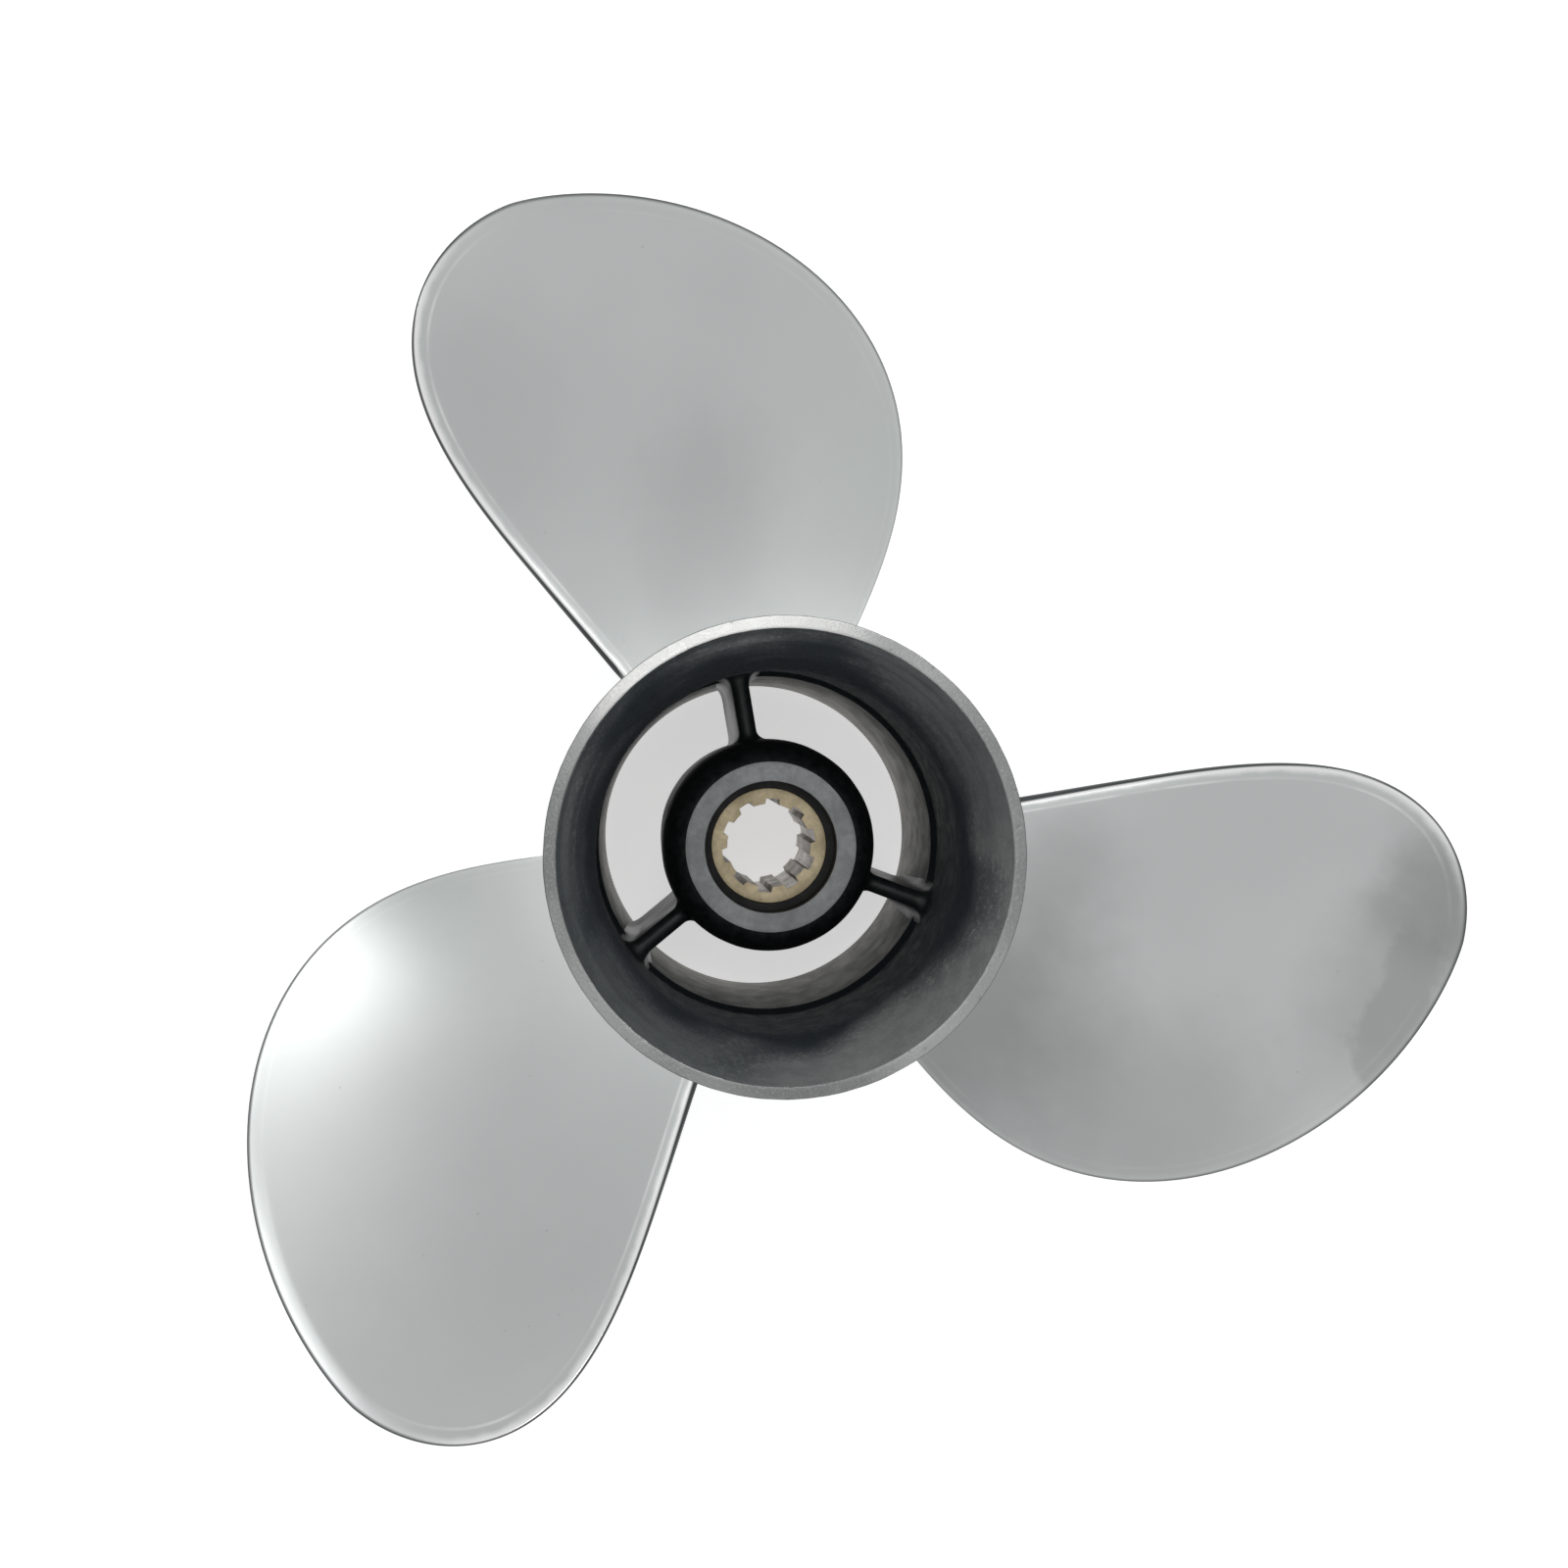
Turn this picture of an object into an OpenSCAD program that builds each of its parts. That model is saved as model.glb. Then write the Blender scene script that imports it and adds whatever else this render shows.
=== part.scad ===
// Three-blade outboard boat propeller with through-hub exhaust.
// Millimetres. +Z runs aft along the shaft axis. The origin is on the axis at the forward end of the hub,
// which is also the plane that the propeller stands on.

/* [Overall size] */
// Diameter of the circle swept by the blade tips
prop_d = 235; // [180:1:300]
// Length of the outer barrel with its flared ring, along the shaft
barrel_len = 90; // [70:1:120]
// Distance that one turn would screw the propeller forward
pitch = 254; // [180:1:310]

/* [Barrel and flared ring] */
// Outside diameter of the barrel
barrel_d = 68; // [56:0.5:84]
// Radial growth of the flared ring from the barrel to its aft lip
flare_rise = 6.1; // [2:0.1:10]
// Length of the flared ring along the shaft
flare_len = 22; // [14:0.5:30]
// Barrel wall thickness where the flared ring joins it
barrel_wall = 3.4; // [2:0.1:6]
// Metal between the aft lip's outer and inner edges
lip_t = 1.7; // [1:0.1:3]
// Radial narrowing of the exhaust passage from the ledge to the forward mouth
throat_draft = 2.2; // [0.5:0.1:2.8]
// Inward step of the ledge where the aft cavity meets the forward passage
ledge_step = 0.9; // [0.3:0.1:1.5]

/* [Blades] */
// Angle of the tip, turned back from the blade's reference line
tip_angle = 7.3; // [0:0.1:15]
// Angle from the tip to the leading edge at the root
lead_span = 47.6; // [38:0.1:52]
// Angle from the tip to the trailing edge at the root
trail_span = 19; // [12:0.1:24]
// Fullness of the leading edge along the radius
lead_power = 2.53; // [1.8:0.01:4]
// Roundness of the leading edge near the tip
lead_round = 1.375; // [1.1:0.005:2.2]
// Fullness of the trailing edge along the radius
trail_power = 4; // [2.5:0.1:6]
// Roundness of the trailing edge near the tip
trail_round = 2.03; // [1.4:0.01:3]
// Aft lean of the blade for each millimetre of radius
rake_slope = 0.333; // [0.1:0.001:0.4]
// Blade thickness at the root
root_t = 7; // [4:0.1:9]
// Blade thickness near the tip
tip_t = 2.6; // [1.8:0.1:4]
// Thickness of the squared edge
edge_t = 1.3; // [0.8:0.1:1.7]
// Aft lift of the cupped trailing edge
cup_rise = 0.6; // [0:0.1:1.2]
// Width of the cupped band
cup_width = 3.2; // [2:0.1:6]
// Fillet between blade and barrel
root_fillet = 5; // [2:0.5:7]

/* [Drive core] */
// Number of spline grooves
spline_count = 10; // [8:1:14]
// Diameter across the tips of the spline teeth
spline_minor_d = 14.45; // [12:0.05:17.5]
// Depth of the spline grooves
spline_depth = 0.93; // [0.6:0.01:1.1]
// Share of one tooth spacing that a groove takes at its root
groove_share = 0.44; // [0.35:0.01:0.55]
// Metal between the groove roots and the outside of the splined insert
insert_wall = 1.82; // [1.2:0.01:2.4]
// Radial step from the groove roots to the plain pilot bore at the forward end
pilot_step = 0.45; // [0.2:0.05:0.8]
// Depth of the pilot bore
pilot_len = 10; // [6:0.5:14]
// Rubber thickness of the bush
bush_wall = 4.5; // [3:0.1:6]
// Radial clearance between the rubber bush and the inner hub
bush_fit = 0.05; // [0.02:0.01:0.09]

/* [Inner hub and ribs] */
// Height of the inner hub as a share of the barrel's length
hub_share = 0.567; // [0.5:0.001:0.62]
// Wall of the inner hub at its forward end
hub_wall = 2.5; // [1.5:0.1:3.5]
// Radial growth of the inner hub from its forward end to its shoulder
hub_draft = 1.4; // [0.2:0.1:2]
// Height of the rounded nose above the shoulder
nose_len = 8.5; // [5:0.5:10]
// Radial gap between the splined insert and the hole in the aft face
hole_gap = 1.4; // [0.5:0.1:2.5]
// Width of the machined ring on the aft face
face_band = 2.8; // [1.5:0.1:3.4]
// Thickness of the end wall that the rubber bush seats against
end_wall = 6; // [3:0.1:8]
// Angle of the first rib from the first blade's reference line
rib_phase = -5.9; // [-20:0.1:20]
// Rib thickness at its rounded aft edge
rib_t = 3.1; // [2:0.1:4.5]
// Rib thickness at its forward end
rib_front_t = 4.8; // [2.5:0.1:6]
// Fillet where a rib meets the barrel
rib_fillet = 3.4; // [1:0.1:4]

/* [Smoothness] */
// Facets round a full circle
round_facets = 96; // [64:8:128]

/* [Hidden] */
// Barrel and flared ring
barrel_r = barrel_d / 2;
flare_r = barrel_r + flare_rise;
flare_z = barrel_len - flare_len;
cavity_r = barrel_r - barrel_wall;
cavity_draft = 0.45;
ledge_z = 0.4 * barrel_len;
ledge_drop = 2;
ledge_r = cavity_r - cavity_draft - ledge_step;
throat_r = ledge_r - throat_draft;
mouth_chamfer = 0.8;
lip_round = 0.6;
flare_steps = 10;
flare_power = 1.8;

// Drive core
spline_minor_r = spline_minor_d / 2;
spline_major_r = spline_minor_r + spline_depth;
insert_r = spline_major_r + insert_wall;
pilot_r = spline_major_r + pilot_step;
bush_r = insert_r + bush_wall;
bush_z = 5;
bush_end_gap = 0.1;
tooth_angle = 360 / spline_count;
groove_angle = tooth_angle * groove_share;
groove_flank = 1.2;
groove_overlap = 0.7;
spline_phase = 15.6;

// Inner hub
hub_bore_r = bush_r + bush_fit;
hub_front_z = 1.5;
hub_front_r = hub_bore_r + hub_wall;
hub_r = hub_front_r + hub_draft;
hub_len = hub_share * barrel_len;
shoulder_z = hub_len - nose_len;
shoulder_band = 3;
nose_steps = 8;
hub_hole_r = insert_r + hole_gap;
hub_face_r = hub_hole_r + face_band;
insert_len = hub_len - end_wall;
bush_top_z = insert_len - bush_end_gap;

// Ribs
rib_count = 3;
rib_angle_step = 360 / rib_count;
rib_front_z = 8;
rib_edge_z = shoulder_z - 5;
rib_hub_fillet = 0.6 * rib_fillet;
rib_facets = 48;

// Blades
blade_count = 3;
blade_angle_step = 360 / blade_count;
tip_r = prop_d / 2;
blade_z = 0.582 * barrel_len;
rake_ref_r = 75;
pitch_per_degree = pitch / 360;
thin_power = 0.8;
camber_power = 0.8;
tip_fade = 6;
cup_fade = 3;
cup_power = 1.4;
lead_wrap = 0.9;
trail_wrap = 0.5;
wrap_power = 6;
tip_stop = 0.999;
root_pack = 0.45;
radial_steps = 26;
chord_steps = 20;

// ---- shared outlines ----

// Radius of the flared ring at a share of its length: s = 0 at the barrel, s = 1 at the lip
function flare_at(s, start_r, end_r) = start_r + (end_r - start_r) * pow(s, flare_power);

// Wall of the exhaust passage, from the forward mouth to the flared ring
function passage_wall() = [
    [throat_r, mouth_chamfer],
    [ledge_r, ledge_z - ledge_drop],
    [ledge_r + ledge_step, ledge_z],
    [cavity_r, flare_z]
];

// Outer surface of the inner hub below its nose
function hub_side() = [
    [hub_front_r, hub_front_z],
    [hub_r, shoulder_z - shoulder_band]
];

// Rounded nose of the inner hub, from the shoulder to the machined ring
function hub_nose() = [
    for (i = [0 : nose_steps])
        let (a = 90 * i / nose_steps)
        [hub_face_r + (hub_r - hub_face_r) * cos(a), shoulder_z + nose_len * sin(a)]
];

// ---- barrel ----

module barrel() {
    color("silver")
    rotate_extrude($fn = round_facets)
    polygon(concat(
        [[barrel_r, 0], [throat_r + mouth_chamfer, 0]],
        passage_wall(),
        [[barrel_r, flare_z]]
    ));
}

// ---- flared ring ----

module flare_ring() {
    steps = [for (i = [0 : flare_steps]) i / flare_steps];
    inner = [for (s = steps) [flare_at(s, cavity_r, flare_r - lip_t), flare_z + s * (flare_len - lip_round)]];
    outer = [for (s = steps) [flare_at(s, barrel_r, flare_r), flare_z + s * (flare_len - lip_round)]];
    lip = [[flare_r - lip_t + lip_round, barrel_len], [flare_r - lip_round, barrel_len]];
    color("silver")
    rotate_extrude($fn = round_facets)
    polygon(concat(inner, lip, [for (i = [flare_steps : -1 : 0]) outer[i]]));
}

// ---- blades ----

// Angles of the two edges at a share of the blade's height: u = 0 at the barrel, u = 1 at the tip
function lead_angle(u) = tip_angle - lead_span * pow(1 - pow(u, lead_power), 1 / lead_round);
function trail_angle(u) = tip_angle + trail_span * pow(1 - pow(u, trail_power), 1 / trail_round);

// Extra half-thickness that the fillet gives at a distance from the barrel
function fillet_gain(d) = d >= root_fillet ? 0 : root_fillet - sqrt(pow(root_fillet, 2) - pow(root_fillet - d, 2));

// Blade thickness at height share u and chord share c: thick at mid-chord, edge_t at both edges
function blade_t(u, c) =
    let (
        middle_t = root_t + (tip_t - root_t) * pow(u, thin_power),
        bulge = pow(1 - pow(2 * c - 1, 2), camber_power)
    )
    edge_t + (middle_t - edge_t) * bulge * min(1, tip_fade * (1 - u));

// Share of the fillet's height left at a chord share: it wraps down to nothing at both edges
function fillet_wrap(c) = sqrt(1 - pow(abs(2 * c - 1), wrap_power));

// Aft lift of the cup at a distance from the outline
function cup_lift(d) = d >= cup_width ? 0 : cup_rise * pow(1 - d / cup_width, cup_power);

// One point of the blade: side = 1 on the aft face, side = 0 on the forward face.
// Sections lie on cylinders about the shaft, and their thickness is square to the helix.
function blade_point(u, c, side) =
    let (
        r = barrel_r + (tip_r - barrel_r) * u,
        gain = fillet_gain(r - barrel_r),
        helix = atan(pitch / (2 * PI * r)),
        degrees_per_mm = 180 / (PI * r),
        along = gain * cos(helix) * degrees_per_mm,
        a0 = lead_angle(u) - lead_wrap * along,
        a1 = trail_angle(u) + trail_wrap * along,
        a = a0 + (a1 - a0) * c,
        from_trail = (a1 - a) / degrees_per_mm / cos(helix),
        from_tip = tip_r - r,
        from_edge = from_trail * from_tip / max(edge_t, norm([from_trail, from_tip])),
        cup = cup_lift(from_edge) * min(1, cup_fade * u),
        grown = gain * fillet_wrap(c),
        off = side == 1 ? edge_t / 2 + cup + grown : edge_t / 2 + cup - blade_t(u, c) - grown,
        turned = a - off * sin(helix) * degrees_per_mm,
        z = blade_z + pitch_per_degree * a + rake_slope * (r - rake_ref_r) + off * cos(helix)
    )
    [r * cos(turned), r * sin(turned), z];

// Height shares of the stations, packed towards the tip and the fillet
function station(i) =
    let (s = i / radial_steps)
    tip_stop * (1 - pow(1 - s, 2)) * (1 - root_pack * pow(1 - s, 4));

// Chord shares, packed towards both edges
function chord_share(j) = 0.5 - 0.5 * cos(180 * j / chord_steps);

module blade_solid() {
    per_ring = 2 * (chord_steps + 1);
    points = [for (i = [0 : radial_steps])
        for (k = [0 : per_ring - 1])
            k <= chord_steps
                ? blade_point(station(i), chord_share(k), 1)
                : blade_point(station(i), chord_share(per_ring - 1 - k), 0)];
    sides = [for (i = [0 : radial_steps - 1])
        for (k = [0 : per_ring - 1])
            let (
                a = i * per_ring + k,
                b = i * per_ring + (k + 1) % per_ring,
                c = b + per_ring,
                d = a + per_ring
            )
            each [[a, b, c], [a, c, d]]];
    caps = [for (k = [0 : chord_steps - 1])
        let (
            a = k,
            b = k + 1,
            c = per_ring - 2 - k,
            d = per_ring - 1 - k,
            top = radial_steps * per_ring
        )
        each [[a, c, b], [a, d, c], [top + a, top + b, top + c], [top + a, top + c, top + d]]];
    polyhedron(points = points, faces = concat(sides, caps), convexity = 8);
}

module blade(index) {
    color("gainsboro")
    rotate([0, 0, index * blade_angle_step])
    blade_solid();
}

module blade_1() {
    blade(0);
}

module blade_2() {
    blade(1);
}

module blade_3() {
    blade(2);
}

// ---- ribs ----

// Space between the inner hub and the barrel, up to the hub's shoulder
module passage_space() {
    rotate_extrude($fn = round_facets)
    polygon(concat(
        passage_wall(),
        [[hub_r, flare_z], hub_side()[1], hub_side()[0]]
    ));
}

// Web of a rib, which thins towards its round aft edge
module rib_web() {
    half_front = rib_front_t / 2;
    half_edge = rib_t / 2;
    rotate([90, 0, 90])
    linear_extrude(height = barrel_r)
    union() {
        polygon([
            [-half_front, rib_front_z],
            [half_front, rib_front_z],
            [half_edge, rib_edge_z],
            [-half_edge, rib_edge_z]
        ]);
        translate([0, rib_edge_z])
        circle(r = half_edge, $fn = rib_facets);
    }
}

// Flared end of a rib, hollowed on both sides by the round of its fillet
module rib_foot(x, size, turn) {
    translate([x, 0, rib_front_z])
    rotate([0, 0, turn])
    linear_extrude(height = rib_edge_z - rib_front_z)
    difference() {
        translate([-size, -rib_t / 2 - size])
        square([2 * size, rib_t + 2 * size]);
        for (side = [-1, 1])
            translate([-size, side * (rib_t / 2 + size)])
            circle(r = size, $fn = rib_facets);
    }
}

module rib(index) {
    color("dimgray")
    rotate([0, 0, rib_phase + index * rib_angle_step])
    intersection() {
        union() {
            rib_web();
            rib_foot(ledge_r, rib_fillet, 0);
            rib_foot(hub_front_r, rib_hub_fillet, 180);
        }
        passage_space();
    }
}

module rib_1() {
    rib(0);
}

module rib_2() {
    rib(1);
}

module rib_3() {
    rib(2);
}

// ---- inner hub ----

module inner_hub() {
    color("dimgray")
    rotate_extrude($fn = round_facets)
    polygon(concat(
        hub_side(),
        hub_nose(),
        [
            [hub_hole_r, hub_len],
            [hub_hole_r, insert_len],
            [hub_bore_r, insert_len],
            [hub_bore_r, hub_front_z]
        ]
    ));
}

// ---- drive core ----

module rubber_bush() {
    color("black")
    rotate_extrude($fn = round_facets)
    polygon([
        [insert_r, bush_z],
        [bush_r, bush_z],
        [bush_r, bush_top_z],
        [insert_r, bush_top_z]
    ]);
}

// One groove of the spline, wider at its mouth than at its root
module spline_groove() {
    root_half = spline_major_r * tan(groove_angle / 2);
    mouth_half = root_half * groove_flank;
    mouth_x = spline_minor_r - groove_overlap;
    polygon([
        [mouth_x, -mouth_half],
        [spline_major_r, -root_half],
        [spline_major_r, root_half],
        [mouth_x, mouth_half]
    ]);
}

module splined_insert() {
    color("darkkhaki")
    difference() {
        cylinder(r = insert_r, h = insert_len, $fn = round_facets);
        translate([0, 0, pilot_len])
        linear_extrude(height = insert_len)
        union() {
            circle(r = spline_minor_r, $fn = round_facets);
            for (i = [0 : spline_count - 1])
                rotate([0, 0, spline_phase + i * tooth_angle])
                spline_groove();
        }
        translate([0, 0, -pilot_len])
        cylinder(r = pilot_r, h = 2 * pilot_len, $fn = round_facets);
    }
}

barrel();
flare_ring();
blade_1();
blade_2();
blade_3();
rib_1();
rib_2();
rib_3();
inner_hub();
rubber_bush();
splined_insert();
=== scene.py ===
"""Looks of a three-blade outboard boat propeller with through-hub exhaust.

Shapes are worked out in millimetres in the part's own frame, with +Z running aft along the shaft
and the origin at the forward end of the hub, and are scaled to metres as each piece is finished.
"""

import logging
import math
from dataclasses import dataclass, field
from enum import Enum
from typing import Callable, Union

import bmesh
import bpy
from mathutils import Matrix, Vector, noise


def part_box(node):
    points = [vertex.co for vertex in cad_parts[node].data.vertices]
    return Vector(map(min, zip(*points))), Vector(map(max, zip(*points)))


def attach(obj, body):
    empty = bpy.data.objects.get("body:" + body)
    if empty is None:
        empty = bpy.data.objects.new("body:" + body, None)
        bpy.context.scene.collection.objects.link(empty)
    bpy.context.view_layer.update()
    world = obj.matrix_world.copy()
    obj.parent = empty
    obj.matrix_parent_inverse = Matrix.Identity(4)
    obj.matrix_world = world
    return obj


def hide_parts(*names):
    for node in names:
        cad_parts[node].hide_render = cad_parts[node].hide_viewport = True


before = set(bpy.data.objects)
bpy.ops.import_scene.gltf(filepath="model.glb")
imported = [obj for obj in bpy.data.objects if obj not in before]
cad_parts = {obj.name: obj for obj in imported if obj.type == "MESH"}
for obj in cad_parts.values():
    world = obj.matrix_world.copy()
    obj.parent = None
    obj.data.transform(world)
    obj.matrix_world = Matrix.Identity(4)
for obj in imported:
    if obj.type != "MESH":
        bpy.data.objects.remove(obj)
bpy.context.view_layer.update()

MM = 0.001
CAST_BODY = "casting"
CORE_BODY = "drive_core"

logging.basicConfig(level=logging.INFO, format="%(message)s")
log = logging.getLogger("propeller")

Colour = tuple[float, float, float]
Feed = Union[bpy.types.NodeSocket, float, tuple]


class Slot(Enum):
    """Material slots that the part's record names."""

    STEEL = "satin_steel"
    PAINT = "black_paint"
    RUBBER = "bush_rubber"
    BRONZE = "insert_bronze"


# ---- shared shape tools ----


def smooth_step(low: float, high: float, value: float) -> float:
    """Eases a value from 0 at low to 1 at high.

    Args:
        low: Value that gives 0.
        high: Value that gives 1.
        value: Value to ease.

    Returns:
        The eased share, from 0 to 1.
    """
    share = min(1.0, max(0.0, (value - low) / (high - low)))
    return share * share * (3 - 2 * share)


def polar(radius: float, degrees: float, height: float) -> Vector:
    """Gives the point at a radius and an angle round the shaft, and at a height."""
    turn = math.radians(degrees)
    return Vector((radius * math.cos(turn), radius * math.sin(turn), height))


@dataclass(frozen=True)
class Corner:
    """One corner of a turned outline, in millimetres."""

    r: float
    z: float
    ease: float = 0.0


def turned_outline(corners: list[Corner], longest: float = 3.0, ease_steps: int = 4) -> list[Vector]:
    """Eases the corners of a closed outline and splits its long sides.

    Args:
        corners: Corners in order round the outline.
        longest: Longest side that is left whole.
        ease_steps: Short sides that each eased corner gets.

    Returns:
        Points in the XZ plane.
    """
    points: list[Vector] = []
    count = len(corners)
    for index, corner in enumerate(corners):
        here = Vector((corner.r, 0, corner.z))
        before = Vector((corners[index - 1].r, 0, corners[index - 1].z)) - here
        following = corners[(index + 1) % count]
        after = Vector((following.r, 0, following.z)) - here
        if corner.ease:
            start = here + before.normalized() * corner.ease
            end = here + after.normalized() * corner.ease
            for step in range(ease_steps + 1):
                k = step / ease_steps
                points.append((1 - k) ** 2 * start + 2 * k * (1 - k) * here + k * k * end)
        else:
            points.append(here)
    split: list[Vector] = []
    for index, point in enumerate(points):
        following_point = points[(index + 1) % len(points)]
        pieces = max(1, math.ceil((following_point - point).length / longest))
        split.extend(point.lerp(following_point, part / pieces) for part in range(pieces))
    return split


def spun(outline: list[Vector], steps: int) -> bmesh.types.BMesh:
    """Spins a closed outline a full turn round the shaft.

    Args:
        outline: Points in the XZ plane.
        steps: Number of steps in the turn.

    Returns:
        The turned shape.
    """
    shape = bmesh.new()
    verts = [shape.verts.new(point) for point in outline]
    edges = [shape.edges.new((verts[i - 1], verts[i])) for i in range(len(verts))]
    bmesh.ops.spin(
        shape,
        geom=verts + edges,
        cent=(0, 0, 0),
        axis=(0, 0, 1),
        angle=math.tau,
        steps=steps,
        use_merge=True,
        use_duplicate=False,
    )
    return shape


def mapped_grid(columns: int, rows: int, place: Callable[[int, int], Vector]) -> bmesh.types.BMesh:
    """Bends a flat grid into a shape.

    Args:
        columns: Number of lines of points across the grid.
        rows: Number of lines of points up the grid.
        place: Gives the point for a column and a row.

    Returns:
        The bent grid, not yet merged.
    """
    shape = bmesh.new()
    bmesh.ops.create_grid(shape, x_segments=columns - 1, y_segments=rows - 1, size=1.0)
    for vert in shape.verts:
        column = round((vert.co.x + 1) / 2 * (columns - 1))
        row = round((vert.co.y + 1) / 2 * (rows - 1))
        vert.co = place(column, row)
    return shape


def roughen(shape: bmesh.types.BMesh, depth: float, grain: float, chosen: Callable[[Vector], float]) -> None:
    """Moves points a little along their normals, as a sand mould leaves them.

    Args:
        shape: Shape to change.
        depth: Largest movement in millimetres.
        grain: Size of the unevenness in millimetres.
        chosen: Gives the share of the movement at a point.
    """
    shape.normal_update()
    for vert in shape.verts:
        share = chosen(vert.co)
        if share:
            vert.co += vert.normal * depth * share * noise.noise(vert.co / grain)


def make_piece(
    shape: bmesh.types.BMesh,
    name: str,
    body: str,
    slot: Slot,
    nodes: list[str],
    finishes: list[bpy.types.Material],
    pick: Callable[[Vector, Vector], int] | None = None,
    sharp: float = 34.0,
    even_normals: bool = True,
) -> bpy.types.Object:
    """Closes a shape, scales it to metres and sets it in the part.

    Args:
        shape: Shape in millimetres; it is freed.
        name: Name of the piece.
        body: Moving body that it rides on.
        slot: The record's material slot; not used.
        nodes: CAD nodes that it stands for.
        finishes: Materials of the piece.
        pick: Gives the material's number for a face's centre and normal.
        sharp: Angle in degrees above which an edge stays sharp.
        even_normals: Whether large faces outweigh small ones in the shading.

    Returns:
        The finished piece.
    """
    bmesh.ops.remove_doubles(shape, verts=shape.verts, dist=0.0005)
    bmesh.ops.recalc_face_normals(shape, faces=shape.faces)
    limit = math.radians(sharp)
    for face in shape.faces:
        face.smooth = True
        face.material_index = pick(face.calc_center_median(), face.normal) if pick else 0
    for edge in shape.edges:
        edge.smooth = edge.calc_face_angle(0.0) < limit
    bmesh.ops.scale(shape, vec=(MM, MM, MM), verts=shape.verts)
    mesh = bpy.data.meshes.new(name)
    shape.to_mesh(mesh)
    shape.free()
    for finish in finishes:
        mesh.materials.append(finish)
    piece = bpy.data.objects.new(name, mesh)
    bpy.context.scene.collection.objects.link(piece)
    if even_normals:
        modifier = piece.modifiers.new("even normals", "WEIGHTED_NORMAL")
        modifier.keep_sharp = True
    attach(piece, body)
    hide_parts(*nodes)
    log.info("%s: %d faces on %s", name, len(mesh.polygons), body)
    return piece


# ---- shared material tools ----


class NodeBoard:
    """Adds nodes to one node tree and joins them."""

    def __init__(self, tree: bpy.types.NodeTree) -> None:
        """Keeps the tree that the nodes go into."""
        self.tree = tree

    def add(self, kind: str, **settings: object) -> bpy.types.Node:
        """Adds a node.

        Args:
            kind: Blender's name for the node.
            **settings: Properties of the node.

        Returns:
            The new node.
        """
        node = self.tree.nodes.new(kind)
        for key, value in settings.items():
            setattr(node, key, value)
        return node

    def feed(self, socket: bpy.types.NodeSocket, source: Feed) -> None:
        """Joins a socket to a source, or sets it to a plain value.

        Args:
            socket: Input socket to fill.
            source: Output socket, or a plain value.
        """
        if isinstance(source, bpy.types.NodeSocket):
            self.tree.links.new(source, socket)
        else:
            socket.default_value = source

    def calc(self, operation: str, a: Feed, b: Feed = 0.0, clamp: bool = False) -> bpy.types.NodeSocket:
        """Adds a Math node and gives its result.

        Args:
            operation: The node's operation.
            a: First value.
            b: Second value.
            clamp: Whether the result is held between 0 and 1.

        Returns:
            The result.
        """
        node = self.add("ShaderNodeMath", operation=operation, use_clamp=clamp)
        self.feed(node.inputs[0], a)
        self.feed(node.inputs[1], b)
        return node.outputs[0]

    def remap(
        self, value: Feed, low: Feed, high: Feed, to_low: Feed = 0.0, to_high: Feed = 1.0
    ) -> bpy.types.NodeSocket:
        """Maps a value from one range to another, eased and held at both ends.

        Args:
            value: Value to map.
            low: Start of its range.
            high: End of its range.
            to_low: Result at the start.
            to_high: Result at the end.

        Returns:
            The mapped value.
        """
        node = self.add("ShaderNodeMapRange", interpolation_type="SMOOTHSTEP", clamp=True)
        for socket, source in zip(node.inputs, (value, low, high, to_low, to_high)):
            self.feed(socket, source)
        return node.outputs[0]

    def blend(self, factor: Feed, a: Feed, b: Feed, kind: str = "MIX") -> bpy.types.NodeSocket:
        """Mixes two colours and gives the result.

        Args:
            factor: Share of the second colour.
            a: First colour.
            b: Second colour.
            kind: Way of mixing.

        Returns:
            The mixed colour.
        """
        node = self.add("ShaderNodeMix", data_type="RGBA", blend_type=kind)
        self.feed(node.inputs[0], factor)
        self.feed(node.inputs[6], rgba(a))
        self.feed(node.inputs[7], rgba(b))
        return node.outputs[2]

    def noise(self, vector: Feed, scale: Feed, detail: float = 3.0, rough: float = 0.5) -> bpy.types.NodeSocket:
        """Adds a Noise Texture and gives its value.

        Args:
            vector: Place that it is read at.
            scale: Features in a metre, roughly.
            detail: Number of finer layers.
            rough: Strength of the finer layers.

        Returns:
            The value.
        """
        node = self.add("ShaderNodeTexNoise")
        self.feed(node.inputs["Vector"], vector)
        self.feed(node.inputs["Scale"], scale)
        node.inputs["Detail"].default_value = detail
        node.inputs["Roughness"].default_value = rough
        return node.outputs["Fac"]

    def vector(self, operation: str, a: Feed, b: Feed) -> bpy.types.Node:
        """Adds a Vector Math node on two vectors.

        Args:
            operation: The node's operation.
            a: First vector.
            b: Second vector.

        Returns:
            The node.
        """
        node = self.add("ShaderNodeVectorMath", operation=operation)
        self.feed(node.inputs[0], a)
        self.feed(node.inputs[1], b)
        return node

    def place(self) -> bpy.types.NodeSocket:
        """Gives the Object coordinates."""
        return self.add("ShaderNodeTexCoord").outputs["Object"]

    def stored(self, name: str) -> bpy.types.NodeSocket:
        """Gives a value stored on the piece's own points."""
        return self.add("ShaderNodeAttribute", attribute_name=name).outputs["Fac"]

    def group(self, tree: bpy.types.NodeTree, **inputs: Feed) -> bpy.types.Node:
        """Places a node group with its own values.

        Args:
            tree: The group.
            **inputs: Value of each input, with _ for a space in its name.

        Returns:
            The placed node.
        """
        node = self.add("ShaderNodeGroup", node_tree=tree)
        for key, source in inputs.items():
            self.feed(node.inputs[key.replace("_", " ")], source)
        return node


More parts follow.
